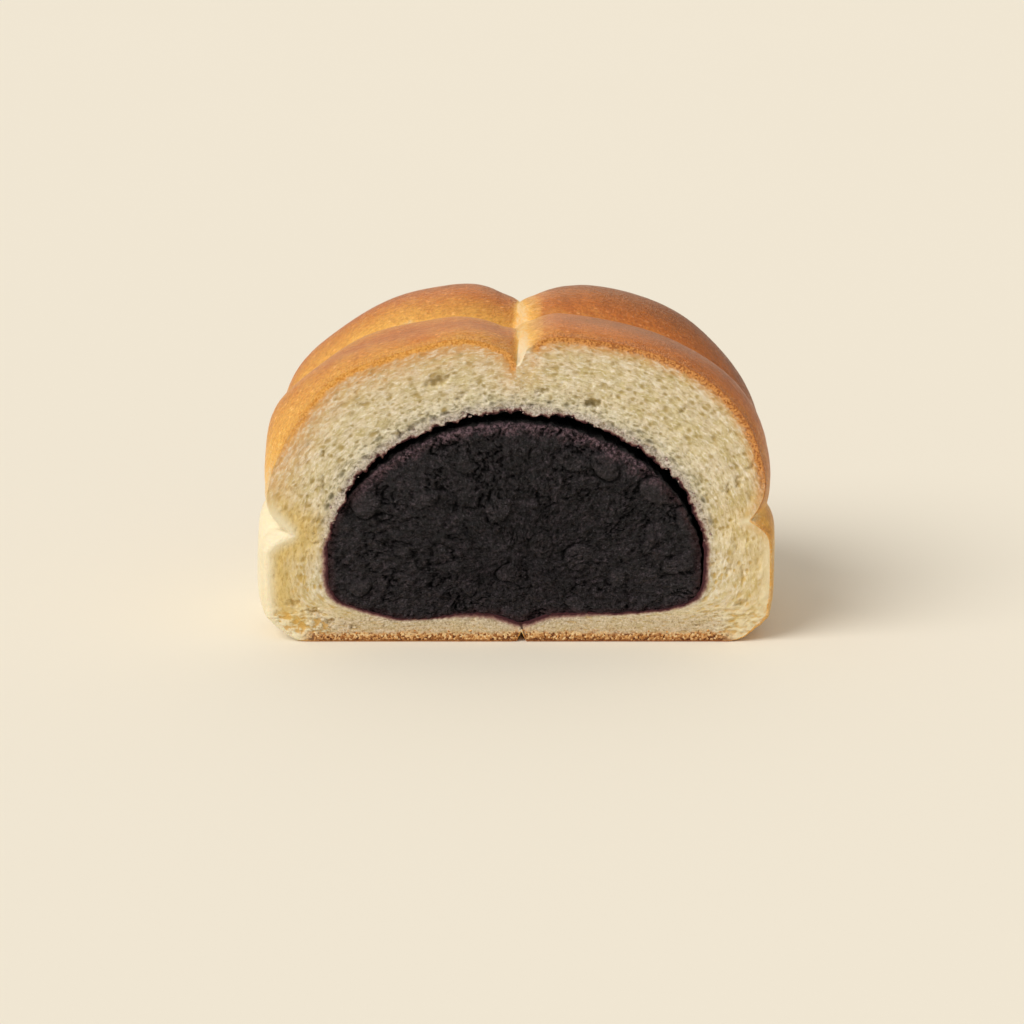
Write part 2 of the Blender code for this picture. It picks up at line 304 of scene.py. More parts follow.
def normals(surface, turn, back):
    turn_step, back_step = 1e-5, 3e-7
    round_it = surface(turn + turn_step, back) - surface(turn - turn_step, back)
    along = surface(turn, back + back_step) - surface(turn, back - back_step)
    outward = np.cross(round_it, along)
    return outward / np.linalg.norm(outward, axis=-1, keepdims=True)


def cross_groove(x, back):
    """1 in the bottom of a groove between two rows, 0 on the crest of a row."""
    skew = CUT_SKEW * x * ramp(back, ROW_PITCH, 0)
    row = (back + skew - FIRST_GROOVE) / ROW_PITCH
    groove = lobe_side(np.abs(row - np.round(row)), 0.5)
    return np.where(row > ROWS_WITH_GROOVES, 0, groove)


def groove_shares(place):
    """How far into the cross, top and side grooves a place on the smooth loaf is, 0 to 1 each."""
    x, back, height = place[..., 0], place[..., 1], place[..., 2]
    cross = cross_groove(x, back)
    top = lobe_side(np.abs(x), by_side(x, TOP_GROOVE_REACHES))
    nearing = ramp(cross, 0, SIDE_CREASE_DEEPENS)
    crease_height = by_side(x, SIDE_CREASE_HEIGHTS) - nearing * by_side(x, SIDE_CREASE_DIPS)
    reach = np.where(height > crease_height, SIDE_CREASE_REACH_ABOVE, SIDE_CREASE_REACH_BELOW)
    return cross, top, lobe_side(np.abs(height - crease_height), reach), nearing


def groove_depth(place):
    """How deep the grooves and creases go at a place on the smooth loaf."""
    height = place[..., 2]
    cross, top, side, nearing = groove_shares(place)
    above = ramp(height, CREASE_HEIGHT, CREASE_HEIGHT + TOP_GROOVE_START)
    share = CROSS_SHARE_ON_BASE + (1 - CROSS_SHARE_ON_BASE) * above
    cross_depth = CROSS_GROOVE_DEPTH * cross * share * ramp(height, 0, CROSS_GROOVE_FOOT)
    side_full = SIDE_CREASE_SHALLOW + (SIDE_CREASE_DEEP - SIDE_CREASE_SHALLOW) * nearing
    return cross_depth + TOP_GROOVE_DEPTH * above * top + side_full * side


def unevenness(place):
    """The gentle swelling of dough that was shaped by hand."""
    x, back, height = (place[..., i] / MM for i in range(3))
    swell = np.sin(0.09 * x + 0.06 * height + 0.5) * np.cos(0.08 * back - 2.4)
    ripple = np.sin(0.17 * x - 0.11 * back + 0.2 * height + 3.3)
    return SWELL * swell + RIPPLE * ripple


def bend(place):
    """Sweeps the cross grooves back at the sides and lets the top groove wander. The cut stays flat."""
    x, back, height = place[..., 0], place[..., 1], place[..., 2]
    across = (x / BASE_HALF_WIDTH) ** 2
    free = ramp(back, 0, LETS_GO_OVER) * ramp(back, LENGTH, LENGTH - STEADIES_OVER)
    up = ramp(height, CREASE_HEIGHT, CREASE_HEIGHT + DOME_RISE)
    place[..., 0] += MEANDER * free * up * (1 - across) * np.sin(2 * math.pi * back / MEANDER_LENGTH)
    place[..., 1] += GROOVE_SWEEP * free * (across - SWEEP_SHIFT)


def flatten(place, seam_half_width):
    """Presses the base flat and lifts it along its seam."""
    place[..., 2] = np.maximum(place[..., 2], 0)
    notch = 1 - ramp(np.abs(place[..., 0] - SEAM_X), 0, seam_half_width)
    fade = ramp(place[..., 1], SEAM_LENGTH, SEAM_LENGTH - SEAM_FADE)
    place[..., 2] += SEAM_HEIGHT * notch * fade * (place[..., 2] < SEAM_HEIGHT)


def bun_surface(turn, back, seam_half_width=SEAM_HALF_WIDTH):
    even = loaf(turn, back)
    place = even + normals(loaf, turn, back) * (unevenness(even) - groove_depth(even))[..., None]
    place[..., 1] = np.where(back > 0, place[..., 1], 0)
    bend(place)
    flatten(place, seam_half_width)
    return place


def paste_surface(turn, back, grown=0.0, grown_above=0.0):
    """The paste's side at an angle round its own middle. It can be grown into the pocket that holds it."""
    sine, cosine = np.sin(turn), np.cos(turn)
    left = ending(back, PASTE_STRAIGHT, PASTE_LENGTH + grown, PASTE_END_POWER)
    top = superellipse(sine, cosine, PASTE_HALF_WIDTH, PASTE_RISE, PASTE_TOP_POWER)
    base = superellipse(sine, cosine, PASTE_HALF_WIDTH, PASTE_DROP, PASTE_BASE_POWER)
    radius = np.where(cosine > 0, top, base) + grown + grown_above * ramp(cosine, -0.2, 0.5)
    x, height = PASTE_X + left * radius * sine, PASTE_HEIGHT + left * radius * cosine
    for middle, half_width, depth in PASTE_SAGS:
        height = height - (cosine < -0.1) * left * depth * np.exp(-(((x - middle) / half_width) ** 2))
    return np.stack([x, back, height], -1)


def even_turns(outline, count):
    """Angles whose points along an outline at the cut are the same distance apart."""
    fine = np.linspace(-math.pi, math.pi, FINE_STEPS + 1)
    steps = np.linalg.norm(np.diff(outline(fine, np.zeros_like(fine)), axis=0), axis=1)
    length = np.concatenate([[0], np.cumsum(steps)])
    return np.interp(np.linspace(0, length[-1], count, endpoint=False), length, fine)


def ellipse_place(x, height, spot):
    """How far a place is from the middle of a tilted ellipse, 1 being its edge."""
    across, up, half_length, half_height = (size * MM for size in spot[:4])
    tilt = math.radians(spot[-1])
    along = (x - across) * math.cos(tilt) + (height - up) * math.sin(tilt)
    over = (height - up) * math.cos(tilt) - (x - across) * math.sin(tilt)
    return np.sqrt((along / half_length) ** 2 + (over / half_height) ** 2)


# ---- Meshes ----


def between(first, count, next_first, next_count):
    """Faces between two closed rings of points. One ring may have twice the points of the other."""
    if count == next_count:
        j = np.arange(count)
        k = (j + 1) % count
        return np.stack([first + j, next_first + j, next_first + k, first + k], 1).tolist()
    j = np.arange(min(count, next_count))
    k = (j + 1) % len(j)
    if count > next_count:
        a, b, c = first + 2 * j, first + 2 * j + 1, first + 2 * k
        d, e = next_first + j, next_first + k
        return [*zip(a, d, b), *zip(b, d, e), *zip(b, e, c)]
    a, b = first + j, first + k
    c, d, e = next_first + 2 * j, next_first + 2 * j + 1, next_first + 2 * k
    return [*zip(a, c, d), *zip(a, d, b), *zip(b, d, e)]


def add_to_scene(name, data):
    obj = bpy.data.objects.new(name, data)
    bpy.context.scene.collection.objects.link(obj)
    return obj


def loft(name, rings, first_pole, last_pole):
    """A closed mesh through rings of points, shut with a fan at each end."""
    counts = [len(ring) for ring in rings]
    starts = 1 + np.concatenate([[0], np.cumsum(counts)])
    faces = []
    for j in range(counts[0]):
        faces.append((0, 1 + j, 1 + (j + 1) % counts[0]))
    for i in range(len(rings) - 1):
        faces.extend(between(starts[i], counts[i], starts[i + 1], counts[i + 1]))
    last, end = starts[-1], starts[-2]
    for j in range(counts[-1]):
        faces.append((end + j, last, end + (j + 1) % counts[-1]))
    points = np.concatenate([[first_pole], *rings, [last_pole]]) + TO_FRAME
    mesh = bpy.data.meshes.new(name)
    mesh.from_pydata(points.tolist(), [], [tuple(int(i) for i in face) for face in faces])
    mesh.shade_smooth()
    return add_to_scene(name, mesh)


def remember(obj, name, values):
    """Keeps a value, or a vector, for each point of a mesh, where its materials can read it."""
    values = np.asarray(values, np.float32)
    kind, field = ("FLOAT", "value") if values.ndim == 1 else ("FLOAT_VECTOR", "vector")
    attribute = obj.data.attributes.new(name, kind, "POINT")
    attribute.data.foreach_set(field, values.ravel())


def recall(obj, name):
    """The values, or vectors, that a mesh keeps for its points."""
    attribute = obj.data.attributes[name]
    is_vector = attribute.data_type == "FLOAT_VECTOR"
    values = np.empty(len(attribute.data) * (3 if is_vector else 1))
    attribute.data.foreach_get("vector" if is_vector else "value", values)
    return values.reshape(-1, 3) if is_vector else values


def settle(obj, tree, settings, materials):
    """Runs a geometry tree on an object and leaves the plain mesh that it makes.

    The tree's inputs get the settings of the same name, and the materials.
    """
    modifier = obj.modifiers.new(tree.name, "NODES")
    modifier.node_group = tree
    values = {setting.name: getattr(settings, setting.identifier) for setting in settings.bl_rna.properties}
    values.update(materials)
    for item in tree.interface.items_tree:
        if item.in_out == "INPUT" and item.name != "Geometry":
            modifier[item.identifier] = values[item.name]
    graph = bpy.context.evaluated_depsgraph_get()
    graph.update()
    made = bpy.data.meshes.new_from_object(obj.evaluated_get(graph), depsgraph=graph)
    obj.modifiers.remove(modifier)
    obj.data = made
    if not made.polygons:
        raise RuntimeError(f"{tree.name} made nothing of {obj.name}")


def join_frame(obj, node_names):
    """Puts a piece on the body, in place of CAD nodes if it has any."""
    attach(obj, BODY)
    if node_names:
        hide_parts(*node_names)


# ---- Node trees ----


def set_inputs(node, inputs):
    """Gives a node's inputs their values, or links them to what other nodes give."""
    for name, value in dict(inputs).items():
        if isinstance(value, Value):
            value.tree.links.new(value.socket, node.inputs[name])
        elif value is not None:
            node.inputs[name].default_value = value


def add_node(tree, kind, inputs=(), **settings):
    node = tree.nodes.new(kind)
    for name, value in settings.items():
        setattr(node, name, value)
    set_inputs(node, inputs)
    return node


def result(tree, kind, inputs=(), output=0, **settings):
    """Adds a node, and gives the value at one of its outputs."""
    return Value(add_node(tree, kind, inputs, **settings).outputs[output])


class Value:
    """What a node gives. Sums with it, and the calls below, add the nodes that work out the next value."""

    def __init__(self, socket):
        self.socket = socket
        self.tree = socket.id_data
        self.is_vector = socket.type in ("VECTOR", "RGBA")

    def math(self, operation, *others, **settings):
        kind = "ShaderNodeVectorMath" if self.is_vector else "ShaderNodeMath"
        return result(self.tree, kind, enumerate((self, *others)), operation=operation, **settings)

    def __add__(self, other):
        return self.math("ADD", other)

    def __sub__(self, other):
        return self.math("SUBTRACT", other)

    def __rsub__(self, number):
        return result(self.tree, "ShaderNodeMath", {0: number, 1: self}, operation="SUBTRACT")

    def __truediv__(self, other):
        return self.math("DIVIDE", other)

    def __mul__(self, other):
        """A vector is scaled by a number, and multiplied axis by axis by a tuple."""
        if self.is_vector and not isinstance(other, tuple):
            return result(self.tree, "ShaderNodeVectorMath", {0: self, "Scale": other}, operation="SCALE")
        return self.math("MULTIPLY", other)

    def __rmul__(self, vector):
        return result(self.tree, "ShaderNodeVectorMath", {0: vector, "Scale": self}, operation="SCALE")

    def __gt__(self, other):
        return self.math("GREATER_THAN", other)

    def __abs__(self):
        return self.math("ABSOLUTE")

    def most(self, other):
        return self.math("MAXIMUM", other)

    def part(self, axis):
        """The number along one axis of a vector: 0 is x, 1 is y and 2 is z."""
        return result(self.tree, "ShaderNodeSeparateXYZ", {0: self}, axis)

    def spread(self, low, high, new_low=0.0, new_high=1.0, kind="SMOOTHSTEP"):
        """The value's place from low to high, as a number from new_low to new_high."""
        inputs = {"Value": self, "From Min": low, "From Max": high, "To Min": new_low, "To Max": new_high}
        return result(self.tree, "ShaderNodeMapRange", inputs, interpolation_type=kind, clamp=True)

    def noise(self, scale, detail=2.0, roughness=0.5, warp=0.0, output=0):
        inputs = {"Vector": self, "Scale": scale, "Detail": detail, "Roughness": roughness}
        return result(self.tree, "ShaderNodeTexNoise", {**inputs, "Distortion": warp}, output)

    def wander(self, *noise):
        """Noise that goes as far below 0 as above it, to a half each way."""
        return self.noise(*noise) - 0.5

    def jitter(self, scale, detail=2.0):
        """A vector that wanders to a half each way along each axis."""
        return self.noise(scale, detail, output="Color") - (0.5, 0.5, 0.5)

    def cells(self, scale):
        """How far the middle of the nearest cell is, and that cell's random colour."""
        node = add_node(self.tree, "ShaderNodeTexVoronoi", {"Vector": self, "Scale": scale}, feature="F1")
        return Value(node.outputs["Distance"]), Value(node.outputs["Color"])

    def spots(self, scale, edge, solid, rarest, surest):
        """Soft spots, one in each cell but for a share of the cells."""
        distance, colour = self.cells(scale)
        return distance.spread(edge, solid) * colour.part(0).spread(rarest, surest)

    def colours(self, stops):
        """A colour ramp with stops of (place, colour)."""
        node = add_node(self.tree, "ShaderNodeValToRGB", {0: self})
        for i, (place, colour) in enumerate(stops):
            elements = node.color_ramp.elements
            element = elements[i] if i < len(elements) else elements.new(place)
            element.position = place
            element.color = (*colour, 1)
        return Value(node.outputs[0])

    def bump(self, distance, strength):
        """Bump of this height in millimetres."""
        inputs = {"Height": self, "Distance": distance * MM, "Strength": strength}
        return result(self.tree, "ShaderNodeBump", inputs)


def mix(share, first, second, blend="MIX"):
    """The second colour over the first one, by its share."""
    tree = next(value.tree for value in (share, first, second) if isinstance(value, Value))
    node = add_node(tree, "ShaderNodeMix", data_type="RGBA", blend_type=blend, clamp_factor=True)
    first, second = ((*c, 1) if isinstance(c, tuple) else c for c in (first, second))
    set_inputs(node, {0: share, 6: first, 7: second})
    return Value(node.outputs[2])


def layered(colour, *layers):
    """Lays colours over the first one, each given with its share."""
    for share, over in layers:
        colour = mix(share, colour, over)
    return colour


def stored(tree, name, vector=False):
    """A value, or a vector, that the mesh keeps for each point, in a material or a geometry tree."""
    if tree.bl_idname == "ShaderNodeTree":
        return result(tree, "ShaderNodeAttribute", (), "Vector" if vector else "Fac", attribute_name=name)
    kind = "FLOAT_VECTOR" if vector else "FLOAT"
    return result(tree, "GeometryNodeInputNamedAttribute", {"Name": name}, data_type=kind)


def geometry_tree(name, inputs):
    """A geometry tree with named inputs and their defaults. An input without one is a material."""
    tree = bpy.data.node_groups.new(name, "GeometryNodeTree")
    tree.interface.new_socket("Geometry", in_out="INPUT", socket_type="NodeSocketGeometry")
    kinds = {float: "NodeSocketFloat", int: "NodeSocketInt", type(None): "NodeSocketMaterial"}
    for label, default in inputs.items():
        socket = tree.interface.new_socket(label, in_out="INPUT", socket_type=kinds[type(default)])
        if default is not None:
            socket.default_value = default
    tree.interface.new_socket("Geometry", in_out="OUTPUT", socket_type="NodeSocketGeometry")
    return tree, {socket.name: Value(socket) for socket in tree.nodes.new("NodeGroupInput").outputs}


def moved(geometry, shift, **values):
    """Keeps values for a mesh's points, and then moves the points."""
    for name, value in values.items():
        inputs = {"Geometry": geometry, "Name": name, "Value": value}
        geometry = result(geometry.tree, "GeometryNodeStoreNamedAttribute", inputs, data_type="FLOAT")
    return result(geometry.tree, "GeometryNodeSetPosition", {"Geometry": geometry, "Offset": shift})


def end_tree(geometry, materials):
    """Ends a tree: instances made real, then each material on its selection of faces."""
    tree = geometry.tree
    geometry = result(tree, "GeometryNodeRealizeInstances", {"Geometry": geometry})
    for selection, material in materials:
        inputs = {"Geometry": geometry, "Selection": selection, "Material": material}
        geometry = result(tree, "GeometryNodeSetMaterial", inputs)
    add_node(tree, "NodeGroupOutput", {"Geometry": geometry})
    return tree


def new_material(name):
    """A new material, its tree and its Object coordinates."""
    material = bpy.data.materials.new(name)
    material.use_nodes = True
    return material, material.node_tree, result(material.node_tree, "ShaderNodeTexCoord", output="Object")


def finish(material, colour, roughness, gloss, normal=None, depth=None, depths=None):
    """Sets a material's shader. Light goes as deep as this into soft crumb, and less in green and blue."""
    set_inputs(material.node_tree.nodes["Principled BSDF"], {
        "Base Color": colour,
        "Roughness": roughness,
        "Specular IOR Level": gloss,
        "Normal": normal,
        "Subsurface Scale": depth,
        "Subsurface Radius": depths,
        "Subsurface Weight": depth and CRUMB_SOFTNESS,
    })
    return material


# ---- Settings ----


def colour_property(name, description, default):
    return bpy.props.FloatVectorProperty(
        name=name, description=description, default=default, size=3, subtype="COLOR", min=0, max=1
    )


def number_property(name, description, default, **limits):
    return bpy.props.FloatProperty(name=name, description=description, default=default, **limits)


def seed_property(description, default):
    return bpy.props.IntProperty(name="Seed", description=description, default=default, min=0, max=1000)


class BunBreadSettings(bpy.types.PropertyGroup):
    """Sizes and colours of the crumb and the crust."""

    pore_size: number_property("Pore size", "Size of the crumb's pores, 1 as baked", 1.0, min=0.3, max=3)
    pore_depth: number_property("Pore depth", "Depth of the crumb's pores, 1 as baked", 1.0, min=0, max=2)
    seed: seed_property("Where the pores and wrinkles fall", 3)
    crumb: colour_property("Crumb", "Colour of the crumb between its pores", paint(223, 206, 172))
    # The pores' colour is mostly a painted shade of their hollows.
    pore: colour_property("Pores", "Colour inside the crumb's pores", paint(172, 147, 88))
    pale: colour_property("Pale crust", "Crust that touched the next bun", paint(237, 224, 190))
    golden: colour_property("Golden crust", "Crust on the sides", paint(247, 190, 90))
    brown: colour_property("Brown crust", "Crust on the crests of the lobes", paint(205, 118, 43))


class BunPasteSettings(bpy.types.PropertyGroup):
    """Sizes and colours of the bean paste."""

    lumpiness: number_property("Lumpiness", "Height of the paste's lumps, 1 as made", 1.0, min=0, max=3)
    seed: seed_property("Where the lumps and cracks fall", 5)
    paste: colour_property("Paste", "Colour of the paste", paint(35, 29, 32))
    skins: colour_property("Bean skins", "Colour of the pieces of bean skin", paint(66, 52, 56))


class BunCrumbsSettings(bpy.types.PropertyGroup):
    """The loose crumbs round the paste and at the foot of the cut."""

    density: number_property("Density", "Crumbs on a square metre of the crumbly edges", 1.3e6, min=0)
    smallest: number_property("Smallest", "Size of the smallest crumb", 0.22 * MM, unit="LENGTH", min=0)
    largest: number_property("Largest", "Size of the largest crumb", 0.65 * MM, unit="LENGTH", min=0)
    seed: seed_property("Where the crumbs fall", 11)


class BunStageSettings(bpy.types.PropertyGroup):
    """The floor, the light and the camera."""

    floor: colour_property("Floor", "Colour of the floor", paint(241, 234, 219))
    key_light: number_property("Key light", "Strength of the soft light from the left", 2.1, min=0)
    sheen_light: number_property(
        "Sheen light", "Strength of the light from behind, seen in the crust's sheen alone", 0.66, min=0
    )
    room_light: number_property("Room light", "Strength of the light from all round", 0.54, min=0)
    camera_distance: number_property(
        "Camera distance", "From the middle of the floor", 0.554, unit="LENGTH", min=0.1
    )
    camera_height: number_property(
        "Camera elevation", "Angle up from the floor", math.radians(17.8), unit="ROTATION"
    )


# ---- Bread ----

# How brown the crust is, 0 to 1, and what browns or pales it. These pairs are for the left and the right.
LEAST_BAKE = (0.21, 0.23)
# Browning towards the right is partly painted shade: the right side faces away from the key light.
BROWNS_AND_SHADES_SIDEWAYS = (0.1, 0.18)
CROSS_PALES = (0.6, 0.43)
TOP_PALES = (0.06, 0.48)
SLIT_PALE_REACHES = (1.2 * MM, 4.5 * MM)
PALEST = (0.02, 0.14)

BROWNS_UPWARDS = 0.48
BROWNS_BACKWARDS = 0.18
# Partly painted shade of the right side, away from the key light.
RIGHT_BROWNS_AND_SHADES = 0.05
RIGHT_PALES_AT_CUT = 0.06
SLIT_PALES = 0.24
SIDE_PALES = 0.25
BELOW_CREASE = 0.1
# Partly painted shade of the lower right side, away from the key light.
BELOW_CREASE_BROWNS_AND_SHADES_SIDEWAYS = 0.11
REAR_BROWNS = 0.25
BASE_BAKE = 0.9
PALEST_HIGH_UP = 0.2

# Where these begin and where they are at their full
UPWARDS = (CREASE_HEIGHT - 4 * MM, CREASE_HEIGHT + DOME_RISE - 4 * MM)
AWAY_FROM_CUT = (0, 10 * MM)
CLOSE_TO_CUT = (14 * MM, 4 * MM)
LEFT_BELOW_CREASE = (0.5 * MM, -3 * MM)
RIGHT_BELOW_CREASE = (-1 * MM, -6 * MM)
AT_REAR = (LENGTH - 16 * MM, LENGTH)
ON_BASE = (1.2 * MM, 0.1 * MM)
OFF_CORNERS = (41 * MM, 37 * MM)
BEHIND_CORNERS = (4 * MM, 12 * MM)
HIGH_UP = (28 * MM, 40 * MM)
JUST_BEHIND_CUT = (0, 6 * MM)


def bake_share(even, place):
    """How brown the crust is, from 0 where it touched the next bun to 1 on the base."""
    x, back, height = place[..., 0], place[..., 1], place[..., 2]
    cross, top, side, nearing = groove_shares(even)
    right, across = x > 0, x / BASE_HALF_WIDTH
    up = ramp(height, *UPWARDS)
    well_up = ramp(up, 0.3, 0.8)
    bake = by_side(x, LEAST_BAKE) + BROWNS_UPWARDS * up ** 0.7
    # Browner towards the right: partly baking, partly painted shade of the side away from the key light.
    bake += by_side(x, BROWNS_AND_SHADES_SIDEWAYS) * across + RIGHT_BROWNS_AND_SHADES * right
    bake += BROWNS_BACKWARDS * ramp(back, 0, ROW_PITCH)
    bake -= by_side(x, CROSS_PALES) * cross ** 0.75 * (0.45 + 0.55 * ramp(back, *AWAY_FROM_CUT))
    bake -= by_side(x, TOP_PALES) * top * well_up
    beside = x - NOTCH_X
    bake -= SLIT_PALES * ramp(np.abs(beside), by_side(beside, SLIT_PALE_REACHES), 0) ** 0.5 * well_up
    bake -= SIDE_PALES * side ** 1.3 + RIGHT_PALES_AT_CUT * right * ramp(back, *CLOSE_TO_CUT)
    over_crease = height - by_side(x, SIDE_CREASE_HEIGHTS) + nearing * by_side(x, SIDE_CREASE_DIPS)
    below_right = ramp(height - CREASE_HEIGHT, *RIGHT_BELOW_CREASE)
    below = np.where(right, below_right, ramp(over_crease, *LEFT_BELOW_CREASE))
    # Below the crease, browner towards the right: partly painted shade, as above.
    bake = bake * (1 - below) + below * (BELOW_CREASE + BELOW_CREASE_BROWNS_AND_SHADES_SIDEWAYS * across)
    bake += REAR_BROWNS * ramp(back, *AT_REAR) * (1 - up)
    under = ramp(height, *ON_BASE) * np.maximum(ramp(np.abs(x), *OFF_CORNERS), ramp(back, *BEHIND_CORNERS))
    palest = np.maximum(by_side(x, PALEST), PALEST_HIGH_UP * ramp(height, *HIGH_UP))
    return np.clip(bake * (1 - under) + BASE_BAKE * under, palest * ramp(back, *JUST_BEHIND_CUT), 1)


def first_crest(x, back):
    """How far the first row's crest, just behind the cut, has settled under its own weight."""
    along = (back - SETTLED_CREST) / SETTLED_REACH
    fade = 1 - 0.8 * smooth(ramp(np.abs(x), *SETTLES_LESS))
    return by_side(x, SETTLED_DEPTHS) * np.exp(-(along ** 2)) * fade


def swelling(x, height, back):
    """How far the dough stands out at a place, over the form that its solid has."""
    out = np.zeros_like(x)
    for spot in SWELLINGS:
        across, up, behind, reach_across, reach_up, reach_behind, far = (size * MM for size in spot)
        away = ((x - across) / reach_across) ** 2 + ((height - up) / reach_up) ** 2
        out += far * np.exp(-away - ((back - behind) / reach_behind) ** 2)
    return out


def visual_surface(turn, back):
    """The bun's surface with the slit in its top groove, and swollen and settled as the photo shows it."""
    place = bun_surface(turn, back, SEAM_SLIT)
    x, up = place[..., 0].copy(), place[..., 2] - CREASE_HEIGHT
    high = smooth(ramp(up, 4 * MM, 24 * MM))
    outward = np.hypot(x / DOME_HALF_WIDTH, up / DOME_RISE) + 1e-6
    out = swelling(x, place[..., 2], back) - first_crest(x, back) * high
    place[..., 0] += out * x / DOME_HALF_WIDTH / outward
    place[..., 2] += out * up / DOME_RISE / outward * ramp(place[..., 2], 0, 2 * MM)
    reach = np.interp(back, NOTCH_BACKS, NOTCH_REACHES)
    slit = 1 - smooth(ramp(np.abs(x - NOTCH_X), 0, reach))
    place[..., 2] -= np.interp(back, NOTCH_BACKS, NOTCH_DEPTHS) * slit * high
    lift = np.maximum(np.abs(place[..., 0]) - CORNER_X, 0) / CORNER_REACH
    place[..., 2] = np.maximum(place[..., 2], CORNER_LIFT * lift ** 2 * ramp(back, *CORNER_BACKS))
    return place


def open_share(turn):
    """1 where the pocket stands open over the paste, 0 where crumb and paste touch."""
    return smooth(ramp(np.abs(turn), by_side(turn, POCKET_CLOSED_FROM), by_side(turn, POCKET_OPEN_TO)))


def pocket_surface(turn, back):
    """The pocket's wall in the crumb: open above the paste, on the paste at its sides and below."""
    gaping = open_share(turn)
    return paste_surface(turn, back, CONTACT + (GAP - CONTACT) * gaping, GAPING_ABOVE * gaping)


def outside_backs():
    """Where the crust's rings stand: close behind the cut, along the bun, and round its rear end."""
    first, rear = EVEN_BACKS
    count = int((OUTSIDE_RINGS - len(NEAR_BACKS)) * EVEN_SHARE)
    along = np.linspace(first, rear, count, endpoint=False)
    left = OUTSIDE_RINGS - len(NEAR_BACKS) - count
    closing = rear + (LENGTH - rear) * np.sin(np.linspace(0, math.pi / 2, left, endpoint=False))
    return np.concatenate([NEAR_BACKS, along, closing])


def from_middle(points):
    """Across and up from the middle of the paste."""
    return points[:, 0] - PASTE_X, points[:, 2] - PASTE_HEIGHT


def cut_places(turns):
    """The crumb at the cut: its edge, the pocket's mouth, and how the crumb runs between the two."""
    still = np.zeros_like(turns)
    edge = visual_surface(turns, still)
    mouth = pocket_surface(np.arctan2(*from_middle(edge)), still)
    reach = np.linalg.norm(mouth - edge, axis=1)
    tangent = np.roll(edge, -1, 0) - np.roll(edge, 1, 0)
    inward = (mouth - edge) / reach[:, None]
    square = np.abs(np.cross(tangent, inward)[:, 1]) / np.linalg.norm(tangent, axis=1)
    middle = (edge + mouth) / 2
    steps = np.linalg.norm(np.roll(middle, -1, 0) - middle, axis=1)
    angle = 2 * math.pi * np.concatenate([[0], np.cumsum(steps)[:-1]]) / steps.sum()
    return edge, mouth, reach, square, angle, steps.sum()


def nearest_distances(points, outline):
    """How far each point is from the nearest point of an outline in the cut."""
    tree = KDTree(len(outline))
    for i, (x, _, z) in enumerate(outline):
        tree.insert((x, 0, z), i)
    tree.balance()
    return np.array([tree.find((x, 0, z))[2] for x, _, z in points])


def make_bread_mesh():
    turns = even_turns(bun_surface, CUT_COLUMNS)
    edge, mouth, reach, square, angle, circumference = cut_places(turns)
    cut_span = np.hypot(*from_middle(edge)).mean()
    rings, fields = [], []

    def keep(ring, from_crust, from_paste, bake, on_cut, angles):
        """Keeps a ring, and for each of its points what the textures read."""
        rings.append(ring)
        radius = circumference / (2 * math.pi) / PORE_STRETCH
        if not on_cut:
            radius = radius * np.hypot(*from_middle(ring)).mean() / cut_span
        out = from_paste + np.maximum(ring[:, 1], 0) * (1 - on_cut)
        place = np.stack([radius * np.cos(angles), radius * np.sin(angles), out], -1) / MM
        cut = np.full(len(ring), float(on_cut))
        fields.append(np.column_stack([from_crust / MM, from_paste / MM, bake, cut, place]))

    coarse = turns[::2]
    for back in outside_backs()[::-1]:
        still = np.full_like(coarse, back)
        ring = visual_surface(coarse, still)
        keep(ring, np.zeros(len(ring)), reach[::2], bake_share(loaf(coarse, still), ring), 0, angle[::2])

    bake = bake_share(loaf(turns, np.zeros_like(turns)), edge)
    pale = ramp(edge[:, 2], 25 * MM, 20 * MM) * ramp(edge[:, 2], 0.5 * MM, 4 * MM)
    rounding = EDGE_ROUNDING + (by_side(edge[:, 0], PALE_EDGE_ROUNDINGS) - EDGE_ROUNDING) * pale
    first = rounding / (reach * square)
    for turned in np.linspace(0, math.pi / 2, ROUNDING_STEPS)[:-1]:
        shares = first * (1 - math.cos(turned))
        ring = edge + (mouth - edge) * shares[:, None]
        ring[:, 1] = rounding * (1 - math.sin(turned))
        keep(ring, reach * shares * square, reach * (1 - shares), bake, 0, angle)
    for share in np.linspace(0, 1, CUT_RINGS):
        shares = first + (1 - first) * share ** 1.08
        ring = edge + (mouth - edge) * shares[:, None]
        keep(ring, nearest_distances(ring, edge), reach * (1 - shares), bake, 1, angle)

    pocket = PASTE_LENGTH * np.sin(np.linspace(0, math.pi / 2, POCKET_RINGS, endpoint=False))[1:]
    facing = np.arctan2(*from_middle(edge))
    for i, back in enumerate(np.concatenate([[0.4 * MM, 1.2 * MM], pocket])):
        step = (2, 4)[min(i, 1)]
        some = facing[::step]
        ring = pocket_surface(some, np.full_like(some, back))
        keep(ring, reach[::step], np.full(len(some), -back), bake[::step], 1, angle[::step])

    rear = rings[0].mean(axis=0) + (0, REAR_BULGE, 0)
    bread = loft("bun_bread", rings, rear, (PASTE_X, PASTE_LENGTH + GAP, PASTE_HEIGHT))
    fields = np.concatenate([fields[0][:1], *fields, fields[-1][-1:]])
    for i, name in enumerate(("from_crust", "from_paste", "bake", "on_cut")):
        remember(bread, name, fields[:, i])
    remember(bread, "place", fields[:, 4:7])
    shape_cut(bread)
    return bread


